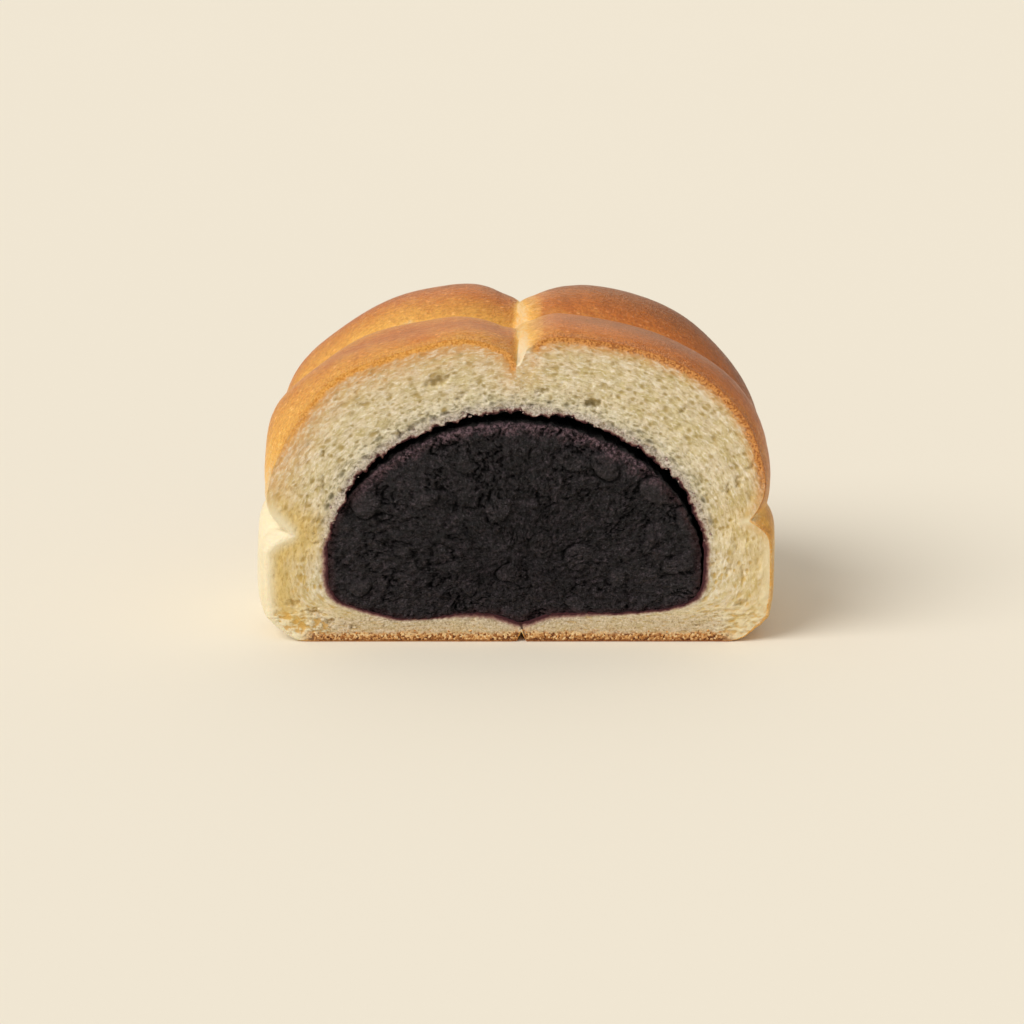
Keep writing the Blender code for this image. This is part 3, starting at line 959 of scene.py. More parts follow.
def shape_cut(bread):
    """Sinks the larger holes into the cut and roughens its lower corners, where the knife tore the crumb."""
    points = recall(bread, "position")
    own = points - TO_FRAME
    x, back, height = own.T
    face = (recall(bread, "on_cut") > 0.5) & (recall(bread, "from_paste") >= 0)
    hole = np.zeros(len(points))
    wobble = 0.22 * np.sin(4.1 * x / MM) + 0.18 * np.sin(5.3 * height / MM + 1)
    for spot in BIG_HOLES:
        away = ellipse_place(x + wobble * MM, height + wobble * MM, spot)
        hole = np.maximum(hole, 0.8 * spot[4] * np.clip(1 - away ** 2, 0, 1) ** 0.8 * face)
    points[:, 1] += hole * MM
    bread.data.vertices.foreach_set("co", points.ravel())
    remember(bread, "hole", hole)
    torn = by_side(x, TORN_SHARES) * ramp(height, by_side(x, TORN_BELOW), by_side(x, MOST_TORN_BELOW))
    torn = torn * ramp(np.abs(x), *TORN_ACROSS) * ramp(back, TORN_BACK, 0)
    remember(bread, "torn", torn * ramp(height, *TORN_ABOVE))
    above = ramp(height, PASTE_HEIGHT, PASTE_HEIGHT + OPEN_OVER)
    remember(bread, "above", LEAST_ABOVE + (1 - LEAST_ABOVE) * above)


def bread_relief():
    """The tree that sinks pores into the crumb and wrinkles the crust."""
    tree, given = geometry_tree(
        "Bread relief", {"Pore size": 1.0, "Pore depth": 1.0, "Seed": 0, "Crust": None, "Crumb": None}
    )
    from_crust, from_paste, on_cut, torn = (
        stored(tree, name) for name in ("from_crust", "from_paste", "on_cut", "torn")
    )
    sized = (stored(tree, "place", True) + (17.3, 5.1, 9.7) * given["Seed"]) / given["Pore size"]
    warped = sized + sized.jitter(0.5) * 1.4

    def pits(cell, smallest, largest, bare_share):
        """Soft-edged pits, one in each cell but for a share of the cells."""
        distance, colour = warped.cells(1 / cell)
        chance = colour.part(0)
        radius = chance.spread(bare_share, 1, smallest, largest, "LINEAR")
        away = distance * cell / radius
        dome = (1 - away * away).most(0)
        return dome * dome * (chance > bare_share) * radius

    near_paste = from_paste.spread(7, 1)
    large = pits(4.4, 0.5, 1.1, 0.86)
    middling = pits(2.0, 0.45, 0.85, 0.66) * near_paste.spread(0, 1, 0.6, 0.8)
    small = pits(0.95, 0.28, 0.5, 0.3) * near_paste.spread(0, 1, 0.45, 1.2)
    place = result(tree, "GeometryNodeInputPosition") * (1 / MM)
    inside = from_crust.spread(0.9, 2.6) * from_paste.spread(-0.2, 0.5)
    inside = inside * place.part(2).spread(5, 16, 0.4, 1.0)
    depth = large.most(middling.most(small)) * inside * given["Pore depth"]
    tears = (place * (0.6, 1.0, 1.2)).noise(1.15, 4, 0.65).spread(0.62, 0.4, -0.6, 1.0) * torn
    deep = depth * 0.8 + place.wander(0.3, 4, 0.6) * inside + tears * 0.22
    inward = result(tree, "ShaderNodeCombineXYZ", {"Y": deep * on_cut})

    ragged = place.jitter(0.55) + place.jitter(1.5, 1) * 0.32 + place.jitter(0.2, 1) * 0.7
    at_mouth = from_paste.spread(2.2, 0) * from_paste.spread(-2, -0.2) * stored(tree, "above")
    ragged = ragged * (2.9, 1.0, 2.9) * (at_mouth + torn * 0.3)
    wrinkles = place.wander(0.5, 4, 0.6) * 0.12 * (1 - on_cut)
    shift = inward + ragged + result(tree, "GeometryNodeInputNormal") * wrinkles
    geometry = moved(given["Geometry"], shift * MM, pore=depth, tear=tears)
    return end_tree(geometry, [(None, given["Crust"]), (on_cut > 0.5, given["Crumb"])])


def crust_material(settings):
    """Baked crust: cream to golden to brown, finely wrinkled, freckled with pale dots that are partly
    painted highlights, with a satin sheen.
    """
    material, tree, place = new_material("baked_crust")
    place = place * (1 / MM)
    across, height = place.part(0), place.part(2)
    combed = stored(tree, "place", True) * (0.75, 0.75, 1.0)
    bake = stored(tree, "bake")
    baked = bake.spread(0.02, 0.3, 0.25, 1.0)
    streaks = combed.wander(1.1, 4, 0.66)
    tone = bake + place.wander(0.13, 3, 0.55) * 0.3
    tone = tone + (streaks * 0.32 + place.wander(2.2, 3, 0.7) * 0.36) * baked
    amber = tuple(0.45 * a + 0.55 * b for a, b in zip(settings.golden, settings.brown))
    dark = tuple(0.55 * channel for channel in settings.brown)
    shades = (settings.pale, settings.golden, amber, settings.brown, dark)
    colour = tone.colours(zip((0.05, 0.26, 0.5, 0.7, 0.98), shades))

    # Pale blister dots, partly painted highlights: light specks added to the colour.
    blisters_and_glints = combed.spots(1.7, 0.34, 0.1, 0.48, 0.75) * (bake.spread(0.15, 0.35) * bake.spread(0.95, 0.6))
    colour = mix(blisters_and_glints * 0.8, colour, mix(1.0, colour, paint(164, 140, 100), "ADD"))
    mottle = (combed + (11.0, 3.0, 7.0)).noise(3.0, 3, 0.75).spread(0.62, 0.36, 0.0, 1.0, "LINEAR")
    mottle = mottle * bake.spread(0.1, 0.4, 0.15, 1.0)
    colour = mix(mottle, colour, mix(1.0, colour, paint(222, 212, 202), "MULTIPLY"))

    # Dough pulled into threads beside the slit at the top, and toasted grains at the cut's edge
    pulled = (place * (0.16, 2.0, 2.0)).noise(1.0, 3, 0.6).spread(0.5, 0.66)
    pulled = pulled * abs(across + -NOTCH_X / MM).spread(7.5, 2.0) * height.spread(44, 50)
    pulled = pulled * across.spread(-3, 1, 0.12, 0.45)
    back = place.part(1) + -TO_FRAME[1] / MM
    near_cut = (back + place.wander(1.0, 4, 0.65) * 2.8).spread(1.8, 0.2)
    grain_place, grain_colour = place.cells(3.3)
    # Painted light: the toasted grains are lighter on the left, where the key light falls.
    lit_left = across.spread(20, -20)
    grains = mix(
        grain_colour.part(0).spread(0.15, 0.85),
        mix(lit_left, paint(174, 100, 46), paint(222, 146, 58)),
        mix(lit_left, paint(218, 142, 74), paint(246, 184, 92)),
    )
    grainy = near_cut * bake.spread(0.12, 0.4) * 0.55
    wrinkles = combed.noise(1.8, 4, 0.62) * 0.8 + place.noise(2.4, 3, 0.6)
    wrinkles = (wrinkles + blisters_and_glints * 0.25 + grain_place * near_cut * -0.9) * baked
    colour = layered(colour, (pulled, paint(244, 200, 134)), (grainy, grains))
    roughness = streaks.spread(-0.3, 0.3, 0.28, 0.42)
    return finish(material, colour, roughness, 0.38, wrinkles.bump(0.36, 0.9), 1.0 * MM, (1.0, 0.5, 0.2))


def crumb_material(settings):
    """Crumb at the cut: cream round ochre pores painted darker as their shade, an orange grainy edge and a
    lilac stain by the paste.
    """
    material, tree, place = new_material("bread_crumb")
    place = place * (1 / MM)
    across, height = place.part(0), place.part(2)
    names = ("from_crust", "from_paste", "pore", "hole", "bake", "above", "tear", "torn")
    from_crust, from_paste, pore, hole, bake, above, tear, torn = (stored(tree, name) for name in names)
    stretched = stored(tree, "place", True)
    near_paste = (from_paste * height.spread(20, 34, 1.7, 1.0)).spread(6.8, 0.6)
    near_paste = near_paste * height.spread(16, 34, 0.55, 1.0)
    greyed = near_paste * height.spread(14, 30, 0.2, 1.0)
    inside = from_crust.spread(0.8, 2.6).most(height.spread(25, 30))
    above_base = height.spread(4, 10, 0.35, 1.0)
    high_up = height.spread(10, 24)

    # Pores, strands and fibres; the pores and the hollows between strands are painted darker as their shade
    warp = stretched.jitter(0.9, 3) * 0.8
    warped = stretched + warp
    beyond = warped + (31.0, 17.0, 23.0)
    lengthwise = (0.58, 0.58, 1.0)
    tone = stretched.noise(0.35, 3, 0.55)
    strands = ((warped + (5.0, 41.0, 13.0)) * lengthwise).noise(1.0, 3, 0.6)
    fine = (beyond * lengthwise).noise(2.25, 4, 0.72)
    specks = fine.spread(0.475, 0.37) * inside * above_base
    fibres = fine.spread(0.52, 0.64) * above_base

    def pores(vector, cell, bare_share, edge):
        return vector.spots(1 / cell, edge, 0.1, bare_share, bare_share + 0.35)

    wide = pores(warped, 1.6, 0.45, 0.42) * inside
    narrow = pores(beyond, 0.95, 0.25, 0.45) * inside
    band = from_paste.spread(4.0, 2.3) * from_paste.spread(0.5, 1.2) * above.spread(0.4, 1.0, 0.1, 1.0)
    crisp = pores((stretched + warp * 0.45) * (0.72, 0.72, 1.0), 1.15, 0.1, 0.58) * band
    pit_shade = pore.spread(0.05, 0.65).most(hole.spread(0.1, 0.9))
    speck_plain = mix(high_up, paint(202, 172, 108), paint(180, 156, 102))
    pore_plain = mix(high_up, paint(206, 172, 98), tuple(settings.pore))

    # Warmer towards the crust, straw-coloured with a pale rim at the sides, grey and gritty low down
    warm = from_crust.spread(8, 1.2) * height.spread(16, 34) * across.spread(30, -24, 0.1, 0.55)
    warm = warm * fine.spread(0.62, 0.4, 0.35, 1.15)
    sideways = height.spread(4, 9).most(abs(across).spread(36, 41))
    skin = from_crust.spread(10, 2.0) * height.spread(34, 21) * across.spread(10, -10, 0.4, 0.9) * sideways
    # The straw colour is darker in the pores, as their painted shade.
    straw = mix(specks.most(narrow) * 0.7, paint(221, 190, 116), paint(192, 154, 76))
    rim = from_crust.spread(3.4, 0.6) * height.spread(29, 23) * sideways * bake.spread(0.3, 0.12)
    grey_base = height.spread(6.5, 3.5) * (1 - sideways)
    low_down = height.spread(10, 4) * (1 - sideways)
    grit = place.noise(2.6, 3, 0.78)

    # The crust's edge, orange and grainy, with a glow inside it
    # Painted light: the edge's grains are lighter on the left, where the key light falls.
    lit_left = across.spread(20, -20)
    edge_place = from_crust + place.wander(0.9, 4, 0.6) * 1.3
    edge_colour = mix(
        place.cells(3.2)[1].part(0).spread(0.1, 0.75),
        mix(lit_left, paint(164, 94, 38), paint(214, 142, 56)),
        mix(lit_left, paint(220, 150, 80), paint(240, 176, 88)),
    )
    browned = bake.spread(0.16, 0.4) * height.spread(25, 35, 0.3, 1.0)
    glow = edge_place.spread(3.4, 0.9) * browned * fine.spread(0.62, 0.4, 0.3, 0.75)
    edge = edge_place.spread(lit_left.spread(0, 1, 1.9, 1.4), 0.8) * browned

    # The toasted strip along the base
    base_grain, base_colour = place.cells(2.5)
    base_tone = base_colour.part(1) * 0.7 + place.noise(1.6, 3, 0.7) * 0.9
    base_tone = base_tone + height.spread(0.3, 2.4, -0.5, -0.12, "LINEAR")
    toasted = base_tone.colours((
        (0.1, paint(98, 54, 26)),
        (0.32, paint(160, 104, 54)),
        (0.52, paint(210, 156, 96)),
        (0.78, paint(240, 208, 156)),
    ))
    off_sides = abs(across).spread(41, 37)
    base = (height + place.wander(0.8, 4, 0.6) * 2.6).spread(2.3, 1.3) * off_sides
    foot = height.spread(0.65, 0.2) * off_sides
    seam = abs(across + (height * 0.25 + -SEAM_LINE_X / MM)).spread(0.4, 0.1) * height.spread(4.8, 4.2)

    # The paste's stain, and crumb soaked dark where it touches the paste
    stained = (from_paste + place.wander(0.7, 4, 0.65) * 2.4).spread(2.6, 0.6)
    stained = stained * above.spread(0.25, 1.0, 0.3, 0.62)
    stain = mix(place.noise(2.6, 3, 0.75).spread(0.36, 0.62), paint(104, 84, 80), paint(214, 200, 194))
    soaked = (from_paste + place.wander(1.6, 3, 0.6) * 0.9) / above.spread(0.25, 1.0, 1.5, 0.5)

    colour = layered(
        mix(tone.spread(0.64, 0.36), tuple(settings.crumb), paint(216, 200, 158)),
        # Painted shade: the hollows between strands, the specks, pores, pits and holes are painted darker
        # and more ochre, for the shade inside them.
        (strands.spread(0.5, 0.36, 0.0, 0.75), paint(200, 182, 128)),
        (strands.spread(0.52, 0.66, 0.0, 0.6), paint(238, 226, 200)),
        (near_paste * 0.7, paint(211, 205, 182)),
        (fibres * 0.7, paint(250, 240, 222)),
        (specks * near_paste.spread(0, 1, 0.5, 0.7), mix(greyed, speck_plain, paint(128, 118, 86))),
        (narrow * 0.85, mix(greyed, pore_plain, paint(124, 114, 80))),
        (wide * 0.85, pore_plain),
        (pit_shade * 0.78, mix(greyed, pore_plain, paint(112, 102, 74))),
        (crisp * 0.9, paint(92, 84, 56)),
        (warm, paint(224, 172, 116)),
        (skin, straw),
        (rim, tuple(settings.pale)),
        (grey_base * 0.4, paint(176, 152, 122)),
        (grit.spread(0.52, 0.64) * low_down * 0.6, paint(238, 222, 200)),
        (grit.spread(0.47, 0.34) * low_down * 0.7, paint(134, 104, 78)),
        (tear.spread(0.2, -0.3) * (torn * 0.45), paint(246, 236, 206)),
        # Painted shade: the hollows of the torn corners are painted ochre.
        (tear.spread(0.3, 0.85) * 0.75, paint(212, 164, 78)),
        (glow, paint(214, 148, 76)),
        (edge * 0.92, edge_colour),
        (base, toasted),
        (foot * 0.7, paint(104, 54, 26)),
        (stained, stain),
        (soaked.spread(1.0, 0.45), paint(142, 104, 96)),
        (soaked.spread(0.62, 0.2), paint(66, 30, 35)),
        # Painted shade with the paste's stain: the pocket's wall behind the cut is painted near black.
        (from_paste.spread(0.05, -0.4), paint(18, 11, 12)),
        (seam * 0.85, paint(58, 30, 24)),
    )
    rough = stretched.noise(3.0, 3, 0.65) * 0.4 + fibres * 0.15
    for hollow, depth in ((specks, 0.25), (narrow, 0.45), (wide, 0.7), (crisp, 0.9)):
        rough = rough - hollow * depth
    rough = rough + base_grain * (edge.most(base) * -0.9)
    return finish(material, colour, 0.82, 0.25, rough.bump(0.26, 0.7), 0.8 * MM, (1.0, 0.7, 0.4))


class BUN_OT_bread(bpy.types.Operator):
    """Makes the bread: crust all round, and the porous crumb at the cut with the pocket for the paste"""

    bl_idname = "bun.bread"
    bl_label = "Bread"

    def execute(self, context):
        settings = context.scene.bun_bread
        bread = make_bread_mesh()
        materials = {"Crust": crust_material(settings), "Crumb": crumb_material(settings)}
        settle(bread, bread_relief(), settings, materials)
        join_frame(bread, ["bread"])
        return {"FINISHED"}


# ---- Bean paste ----

PASTE_MIDDLE = np.array([PASTE_X, 0, PASTE_HEIGHT])
PASTE_ROUNDING = 0.2 * MM
PASTE_ROUNDING_STEPS = 6
COARSER_FROM = (0.82, 0.93)


def make_paste_mesh():
    turns = even_turns(paste_surface, PASTE_COLUMNS)
    coarse = turns[::2]
    opened = open_share(turns)
    sinks = PASTE_SINKS[0] + (PASTE_SINKS[1] - PASTE_SINKS[0]) * ramp(turns, -0.3, 0.6)
    snug = SNUG * (1 - opened) - sinks * opened * ramp(turns, 1.75, 1.15)
    rim = paste_surface(turns, np.zeros_like(turns), snug)
    reach = np.linalg.norm(rim - PASTE_MIDDLE, axis=1)
    rounding = PASTE_ROUNDING + (PASTE_ROUNDING_ABOVE - PASTE_ROUNDING) * ramp(np.cos(turns), 0, 0.7)
    rings, from_rims, on_face = [], [], []

    def keep(ring, from_rim, face_share):
        """Keeps a ring, with its points' distance from the rim and how far they face out of the cut."""
        rings.append(ring)
        from_rims.append(from_rim)
        on_face.append(np.full(len(ring), face_share))

    start = float(rounding.max())
    closing = np.sin(np.linspace(0, math.pi / 2, PASTE_SIDE_RINGS, endpoint=False))
    for back in (start + (PASTE_LENGTH - start) * closing)[::-1]:
        ring = paste_surface(coarse, np.full_like(coarse, back), snug[::2])
        keep(ring, np.full(len(coarse), -back), 0.0)
    first = rounding / reach
    for angle in np.linspace(0, math.pi / 2, PASTE_ROUNDING_STEPS + 1)[:-1]:
        inward = first * (1 - math.cos(angle))
        ring = rim + (PASTE_MIDDLE - rim) * inward[:, None]
        ring[:, 1] = rounding * (1 - math.sin(angle))
        keep(ring, np.zeros(len(ring)), math.sin(angle))
    for share in np.linspace(0, 1, PASTE_FACE_RINGS, endpoint=False):
        inward = first + (1 - first) * share
        step = 1
        for limit in COARSER_FROM:
            step *= 2 if share > limit else 1
        ring = rim + (PASTE_MIDDLE - rim) * inward[:, None]
        keep(ring[::step], (reach * inward)[::step], 1.0)

    paste = loft("bun_bean_paste", rings, (PASTE_X, PASTE_LENGTH, PASTE_HEIGHT), PASTE_MIDDLE)
    gaping = [open_share(turns[:: len(turns) // len(ring)]) for ring in rings]
    remember(paste, "gaping", np.concatenate([[0], *gaping, [0]]))
    from_rims = np.concatenate([[-PASTE_LENGTH], *from_rims, [reach.mean()]])
    remember(paste, "from_rim", from_rims / MM)
    remember(paste, "on_face", np.concatenate([[0], *on_face, [1]]))
    shape_beans(paste)
    return paste


def shape_beans(paste):
    """Raises the pieces of bean that stand out of the paste, each with a crack along part of its edge."""
    points = recall(paste, "position")
    own = points - TO_FRAME
    bean, moat = np.zeros(len(points)), np.zeros(len(points))
    x, z = own[:, 0] / MM, own[:, 2] / MM
    wobble_x = 0.3 * np.sin(0.9 * z + 0.5 * x) + 0.08 * np.sin(3.1 * z - 1.1 * x)
    wobble_z = 0.3 * np.sin(0.8 * x - 0.6 * z + 1) + 0.08 * np.sin(2.9 * x + 1.3 * z)
    for spot in BEANS:
        away = ellipse_place(own[:, 0] + wobble_x * MM, own[:, 2] + wobble_z * MM, spot)
        bean = np.maximum(bean, spot[4] * np.clip(1 - away ** 2.4, 0, 1) ** 0.6)
        side = 0.5 + 0.5 * np.sin(np.arctan2(z - spot[1], x - spot[0]) + spot[0])
        plain = min(1, spot[4]) ** 1.6
        moat = np.maximum(moat, plain * np.exp(-(((away - 1.06) / 0.085) ** 2)) * side ** 1.5)
    points[:, 1] -= recall(paste, "on_face") * (0.6 * bean - 0.9 * moat * (bean < 0.3)) * MM
    paste.data.vertices.foreach_set("co", points.ravel())
    remember(paste, "bean", bean)
    remember(paste, "moat", moat)


def paste_relief():
    """The tree that makes the paste lumpy, grainy and cracked."""
    tree, given = geometry_tree("Paste relief", {"Lumpiness": 1.0, "Seed": 0, "Paste": None})
    place = result(tree, "GeometryNodeInputPosition") * (1 / MM) + (7.9, 3.3, 12.1) * given["Seed"]
    plain = stored(tree, "bean").spread(0.3, 0.05, 0.35, 1.0)
    warped = place + place.jitter(0.35, 3) * 4.0
    bits = warped.spots(0.42, 0.42, 0.12, 0.5, 0.9)
    winding = abs((place * (0.8, 1.0, 1.2)).wander(0.24, 3, 0.6, 0.6))
    cracks = winding.spread(0.022, 0.003) * place.noise(0.17, 1).spread(0.48, 0.6)
    short = abs((place + (31.0, 5.0, 17.0)).wander(0.5, 2, 0.5, 0.9)).spread(0.026, 0.005)
    short = short * (place + (3.0, 9.0, 41.0)).noise(0.28, 1).spread(0.56, 0.64)
    cracks = cracks.most(short * 0.7)

    height = place.wander(0.12, 3) * 1.6 + warped.wander(0.42, 4, 0.6) * 1.8 * plain
    height = height + (place.wander(1.1, 4, 0.7) * plain.spread(0, 1, 1.3, 2.2) + bits * 0.5)
    height = height - warped.cells(1.05)[0] * 0.5 * plain - cracks * 1.1 * plain
    height = height * given["Lumpiness"] * stored(tree, "on_face")
    crumbly = place.jitter(0.8, 3) * (2.0, 0.8, 2.0) * stored(tree, "from_rim").spread(3, 0)
    outward = result(tree, "ShaderNodeCombineXYZ", {"Y": height * -1})
    shift = outward + crumbly * stored(tree, "gaping")
    return end_tree(moved(given["Geometry"], shift * MM, crack=cracks, bit=bits), [(None, given["Paste"])])


def paste_material(settings):
    """Dark bean paste: near black, moist in points with painted glints, with redder bean skins, a dry purple
    rim on top partly lightened as a painted highlight, and painted shade in its cracks and at its edge.
    """
    material, tree, place = new_material("bean_paste_dark")
    place = place * (1 / MM)
    height = place.part(2)
    names = ("from_rim", "bean", "moat", "bit", "crack", "on_face")
    from_rim, bean, moat, bit, crack, on_face = (stored(tree, name) for name in names)
    tone = place.noise(1.9, 4, 0.78) * 0.7 + place.noise(0.5, 4, 0.65) * 0.3
    shades = [tuple(share * channel for channel in settings.paste) for share in (0.1, 0.65, 1.5, 4.8)]
    colour = tone.spread(0.39, 0.61, 0.0, 1.0, "LINEAR").colours(zip((0, 0.4, 0.7, 1), shades))
    colour = mix(height.spread(22, 5), colour, mix(1.0, colour, paint(21, 17, 19), "ADD"))

    skins = (bean.spread(0.15, 0.6) * 0.6).most(bit)
    wander = place.wander(0.45, 4, 0.65) * 6.0
    # Partly a painted highlight: the dry purple crumbs of the rim are painted lighter, as if lit.
    dry_and_lit_rim = (from_rim + wander).spread(3.2, 1.0) * height.spread(24, 34)
    dry_spots = place.noise(1.7, 4, 0.75).spread(0.44, 0.6)
    low = (from_rim + wander * 0.35).spread(2.0, 0.2) * height.spread(36, 26)
    # Painted shade: the cracks, the moats beside the beans, and the paste's upper edge and sides under the
    # crumb are painted near black.
    dark = (moat * 0.9).math("ADD", crack * 0.95, use_clamp=True)
    dark = dark.most(on_face.spread(0.9, 0.3) * height.spread(10, 20))
    # Painted glints: light specks in the colour, where the paste is a little glossier too.
    glints = place.spots(2.3, 0.34, 0.08, 0.6, 0.9) * (1 - dark)
    colour = layered(
        colour,
        (skins * 0.22, tuple(settings.skins)),
        (dry_and_lit_rim * 0.85, mix(dry_spots, paint(42, 26, 31), paint(150, 118, 128))),
        (low * 0.7, paint(60, 28, 31)),
        (dark, paint(7, 5, 6)),
        (glints * 0.7, paint(116, 110, 116)),
    )
    rough = place.noise(0.8, 3).spread(0.35, 0.65, 0.36, 0.52)
    fine = place.noise(1.6, 5, 0.72) + place.cells(2.6)[0] * -0.35
    return finish(material, colour, rough - glints * 0.15, 0.45, fine.bump(1.0, 1.0))


class BUN_OT_bean_paste(bpy.types.Operator):
    """Makes the core of bean paste, with pieces of bean, lumps and cracks in its cut face"""

    bl_idname = "bun.bean_paste"
    bl_label = "Bean paste"

    def execute(self, context):
        settings = context.scene.bun_paste
        paste = make_paste_mesh()
        settle(paste, paste_relief(), settings, {"Paste": paste_material(settings)})
        join_frame(paste, ["bean_paste"])
        return {"FINISHED"}


# ---- Crumbs ----

MOUTH_TURNS = (math.radians(-85), math.radians(85))
MOUTH_BAND = 1.3 * MM
FOOT_BAND = (0.25 * MM, 2.3 * MM)
FOOT_ENDS = (-37.5 * MM, 38.0 * MM)
BAND_STEPS = 160
CRUMBS_SINK = 0.16 * MM


def crumbly_bands():
    """Strips in the cut where crumbs hang on: along the pocket's upper edge and over the browned base."""
    still = np.zeros(BAND_STEPS)
    inner = pocket_surface(np.linspace(*MOUTH_TURNS, BAND_STEPS), still)
    outer = inner + (inner - PASTE_MIDDLE) * (MOUTH_BAND / PASTE_RISE)
    across = np.linspace(*FOOT_ENDS, BAND_STEPS)
    low, high = (np.stack([across, still, np.full(BAND_STEPS, height)], -1) for height in FOOT_BAND)
    points = np.concatenate([inner, outer, low, high]) + TO_FRAME + (0, CRUMBS_SINK, 0)
    faces = []
    for start in (0, 2 * BAND_STEPS):
        for i in range(start, start + BAND_STEPS - 1):
            faces.append((i, i + 1, i + 1 + BAND_STEPS, i + BAND_STEPS))
    mesh = bpy.data.meshes.new("bun_crumbs")
    mesh.from_pydata(points.tolist(), [], faces)
    return add_to_scene("bun_crumbs", mesh)


def crumbs_tree():
    """The tree that scatters crumbs over the strips, turns and sizes each one, and makes each uneven."""
    tree, given = geometry_tree(
        "Crumbs", {"Density": 1.0, "Smallest": 0.0, "Largest": 0.0, "Seed": 0, "Crumbs": None}
    )

    def chance(low, high, seed):
        inputs = {0: low, 1: high, "Seed": seed}
        return result(tree, "FunctionNodeRandomValue", inputs, data_type="FLOAT_VECTOR")

    inputs = {"Mesh": given["Geometry"], "Density": given["Density"], "Seed": given["Seed"]}
    points = result(tree, "GeometryNodeDistributePointsOnFaces", inputs, "Points")
    shape = result(tree, "GeometryNodeMeshUVSphere", {"Segments": 8, "Rings": 5, "Radius": 0.5}, "Mesh")
    inputs = {2: 0.0, 3: 1.0, "Seed": 7}
    share = result(tree, "FunctionNodeRandomValue", inputs, 1, data_type="FLOAT").math("POWER", 2.0)
    size = share.spread(0.0, 1.0, given["Smallest"], given["Largest"], "LINEAR")
    inputs = {
        "Points": points,
        "Instance": shape,
        "Rotation": chance((0.0, 0.0, 0.0), (math.tau,) * 3, given["Seed"]),
        "Scale": chance((0.6, 0.6, 0.6), (1.3, 1.0, 1.0), 3) * size,
    }
    placed = result(tree, "GeometryNodeInstanceOnPoints", inputs)
    real = result(tree, "GeometryNodeRealizeInstances", {"Geometry": placed})
    uneven = (result(tree, "GeometryNodeInputPosition") * (1 / MM)).jitter(2.4) * (0.35 * MM)
    return end_tree(moved(real, uneven), [(None, given["Crumbs"])])


def crumbs_material():
    """Crumbs: pinkish cream by the paste, toasted at the foot of the cut."""
    material, _, place = new_material("loose_crumbs")
    place = place * (1 / MM)
    tone = place.noise(1.6, 3, 0.65)
    at = (0.32, 0.5, 0.66)
    upper = tone.colours(zip(at, (paint(96, 70, 70), paint(160, 134, 126), paint(206, 186, 174))))
    lower = tone.colours(zip(at, (paint(140, 78, 34), paint(206, 142, 74), paint(240, 202, 140))))
    colour = mix(place.part(2).spread(5, 3), upper, lower)
    return finish(material, colour, 0.85, 0.25, place.noise(4.0, 3).bump(0.15, 0.7))


class BUN_OT_crumbs(bpy.types.Operator):
    """Makes the crumbs that hang on the pocket's upper edge and at the foot of the cut"""

    bl_idname = "bun.crumbs"
    bl_label = "Crumbs"

    def execute(self, context):
        crumbs = crumbly_bands()
        settle(crumbs, crumbs_tree(), context.scene.bun_crumbs, {"Crumbs": crumbs_material()})
        crumbs.data.shade_smooth()
        join_frame(crumbs, [])
        return {"FINISHED"}


# ---- Stage ----

FLOOR_SIZE = 12.0
LENS = 100
SENSOR = 36
CAMERA_X = -1.09 * MM
CAMERA_Y = -1.39 * MM
CAMERA_PITCH_OFF = 16.118 / 17.8
KEY_COLOUR = (1.0, 0.975, 0.94)
KEY_PLACE = (-0.75, -0.5, 0.85)
KEY_SOFTNESS = math.radians(40)
SHEEN_COLOUR = (1.0, 0.86, 0.6)
SHEEN_PLACE = (0.0, 0.85, 0.6)
SHEEN_SOFTNESS = math.radians(38)
ROOM_COLOUR = (1.0, 0.965, 0.9, 1)


def add_sun(name, strength, colour, softness, place):
    """A light like the sun's, from this place towards the middle of the floor."""
    sun = add_to_scene(name, bpy.data.lights.new(name, "SUN"))
    sun.data.energy = strength
    sun.data.color = colour
    sun.data.angle = softness
    sun.location = place
    sun.rotation_euler = (Vector() - sun.location).to_track_quat("-Z", "Y").to_euler()
    return sun


def floor_material(settings):
    """A plain pale floor, matt, with the faintest unevenness."""
    material, _, place = new_material("studio_floor")
    darker = tuple(channel * 0.985 for channel in settings.floor)
    return finish(material, mix(place.noise(3.0, 3), darker, tuple(settings.floor)), 0.9, 0.1)


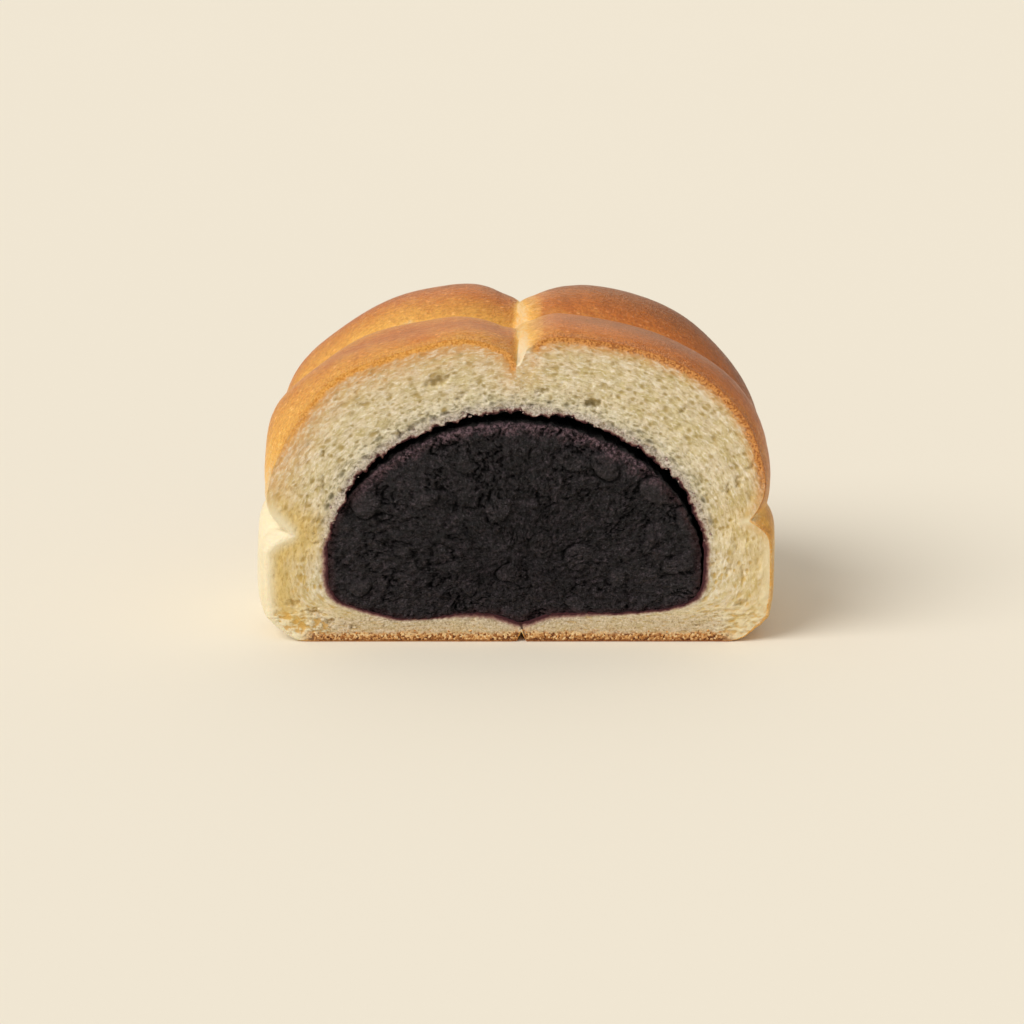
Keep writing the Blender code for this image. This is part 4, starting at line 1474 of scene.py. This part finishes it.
class BUN_OT_stage(bpy.types.Operator):
    """Makes the floor, the lights and the camera"""

    bl_idname = "bun.stage"
    bl_label = "Stage"

    def execute(self, context):
        scene = context.scene
        settings = scene.bun_stage
        half = FLOOR_SIZE / 2
        corners = [(-half, -half, 0), (half, -half, 0), (half, half, 0), (-half, half, 0)]
        mesh = bpy.data.meshes.new("floor")
        mesh.from_pydata(corners, [], [(0, 1, 2, 3)])
        mesh.materials.append(floor_material(settings))
        add_to_scene("floor", mesh)

        add_sun("key_light", settings.key_light, KEY_COLOUR, KEY_SOFTNESS, KEY_PLACE)
        sheen = add_sun("sheen_light", settings.sheen_light, SHEEN_COLOUR, SHEEN_SOFTNESS, SHEEN_PLACE)
        sheen.visible_diffuse = False
        scene.world = bpy.data.worlds.new("studio")
        scene.world.use_nodes = True
        background = scene.world.node_tree.nodes["Background"]
        set_inputs(background, {"Color": ROOM_COLOUR, "Strength": settings.room_light})
        scene.view_settings.view_transform = "Standard"

        camera = add_to_scene("camera", bpy.data.cameras.new("camera"))
        camera.data.lens = LENS
        camera.data.sensor_width = SENSOR
        distance, height = settings.camera_distance, settings.camera_height
        camera.location = (CAMERA_X, CAMERA_Y - distance * math.cos(height), distance * math.sin(height))
        camera.rotation_euler = (math.pi / 2 - height * CAMERA_PITCH_OFF, 0, 0)
        bpy.context.scene.camera = camera
        return {"FINISHED"}


class BUN_PT_pieces(bpy.types.Panel):
    """The bun's pieces and their settings"""

    bl_idname = "BUN_PT_pieces"
    bl_label = "Red bean bun"
    bl_space_type = "VIEW_3D"
    bl_region_type = "UI"
    bl_category = "Bun"

    def draw(self, context):
        for operator, group in OPERATORS.items():
            box = self.layout.box()
            box.operator(operator)
            settings = getattr(context.scene, group)
            for name in settings.__annotations__:
                box.prop(settings, name)


OPERATORS = {
    "bun.bread": "bun_bread",
    "bun.bean_paste": "bun_paste",
    "bun.crumbs": "bun_crumbs",
    "bun.stage": "bun_stage",
}
GROUPS = {
    "bun_bread": BunBreadSettings,
    "bun_paste": BunPasteSettings,
    "bun_crumbs": BunCrumbsSettings,
    "bun_stage": BunStageSettings,
}
CLASSES = (*GROUPS.values(), BUN_OT_bread, BUN_OT_bean_paste, BUN_OT_crumbs, BUN_OT_stage, BUN_PT_pieces)


def register():
    for cls in CLASSES:
        bpy.utils.register_class(cls)
    for name, group in GROUPS.items():
        setattr(bpy.types.Scene, name, bpy.props.PointerProperty(type=group))


def unregister():
    for name in GROUPS:
        delattr(bpy.types.Scene, name)
    for cls in reversed(CLASSES):
        bpy.utils.unregister_class(cls)


def main():
    register()
    bpy.ops.bun.bread()
    bpy.ops.bun.bean_paste()
    bpy.ops.bun.crumbs()
    bpy.ops.bun.stage()


if __name__ == "__main__":
    main()
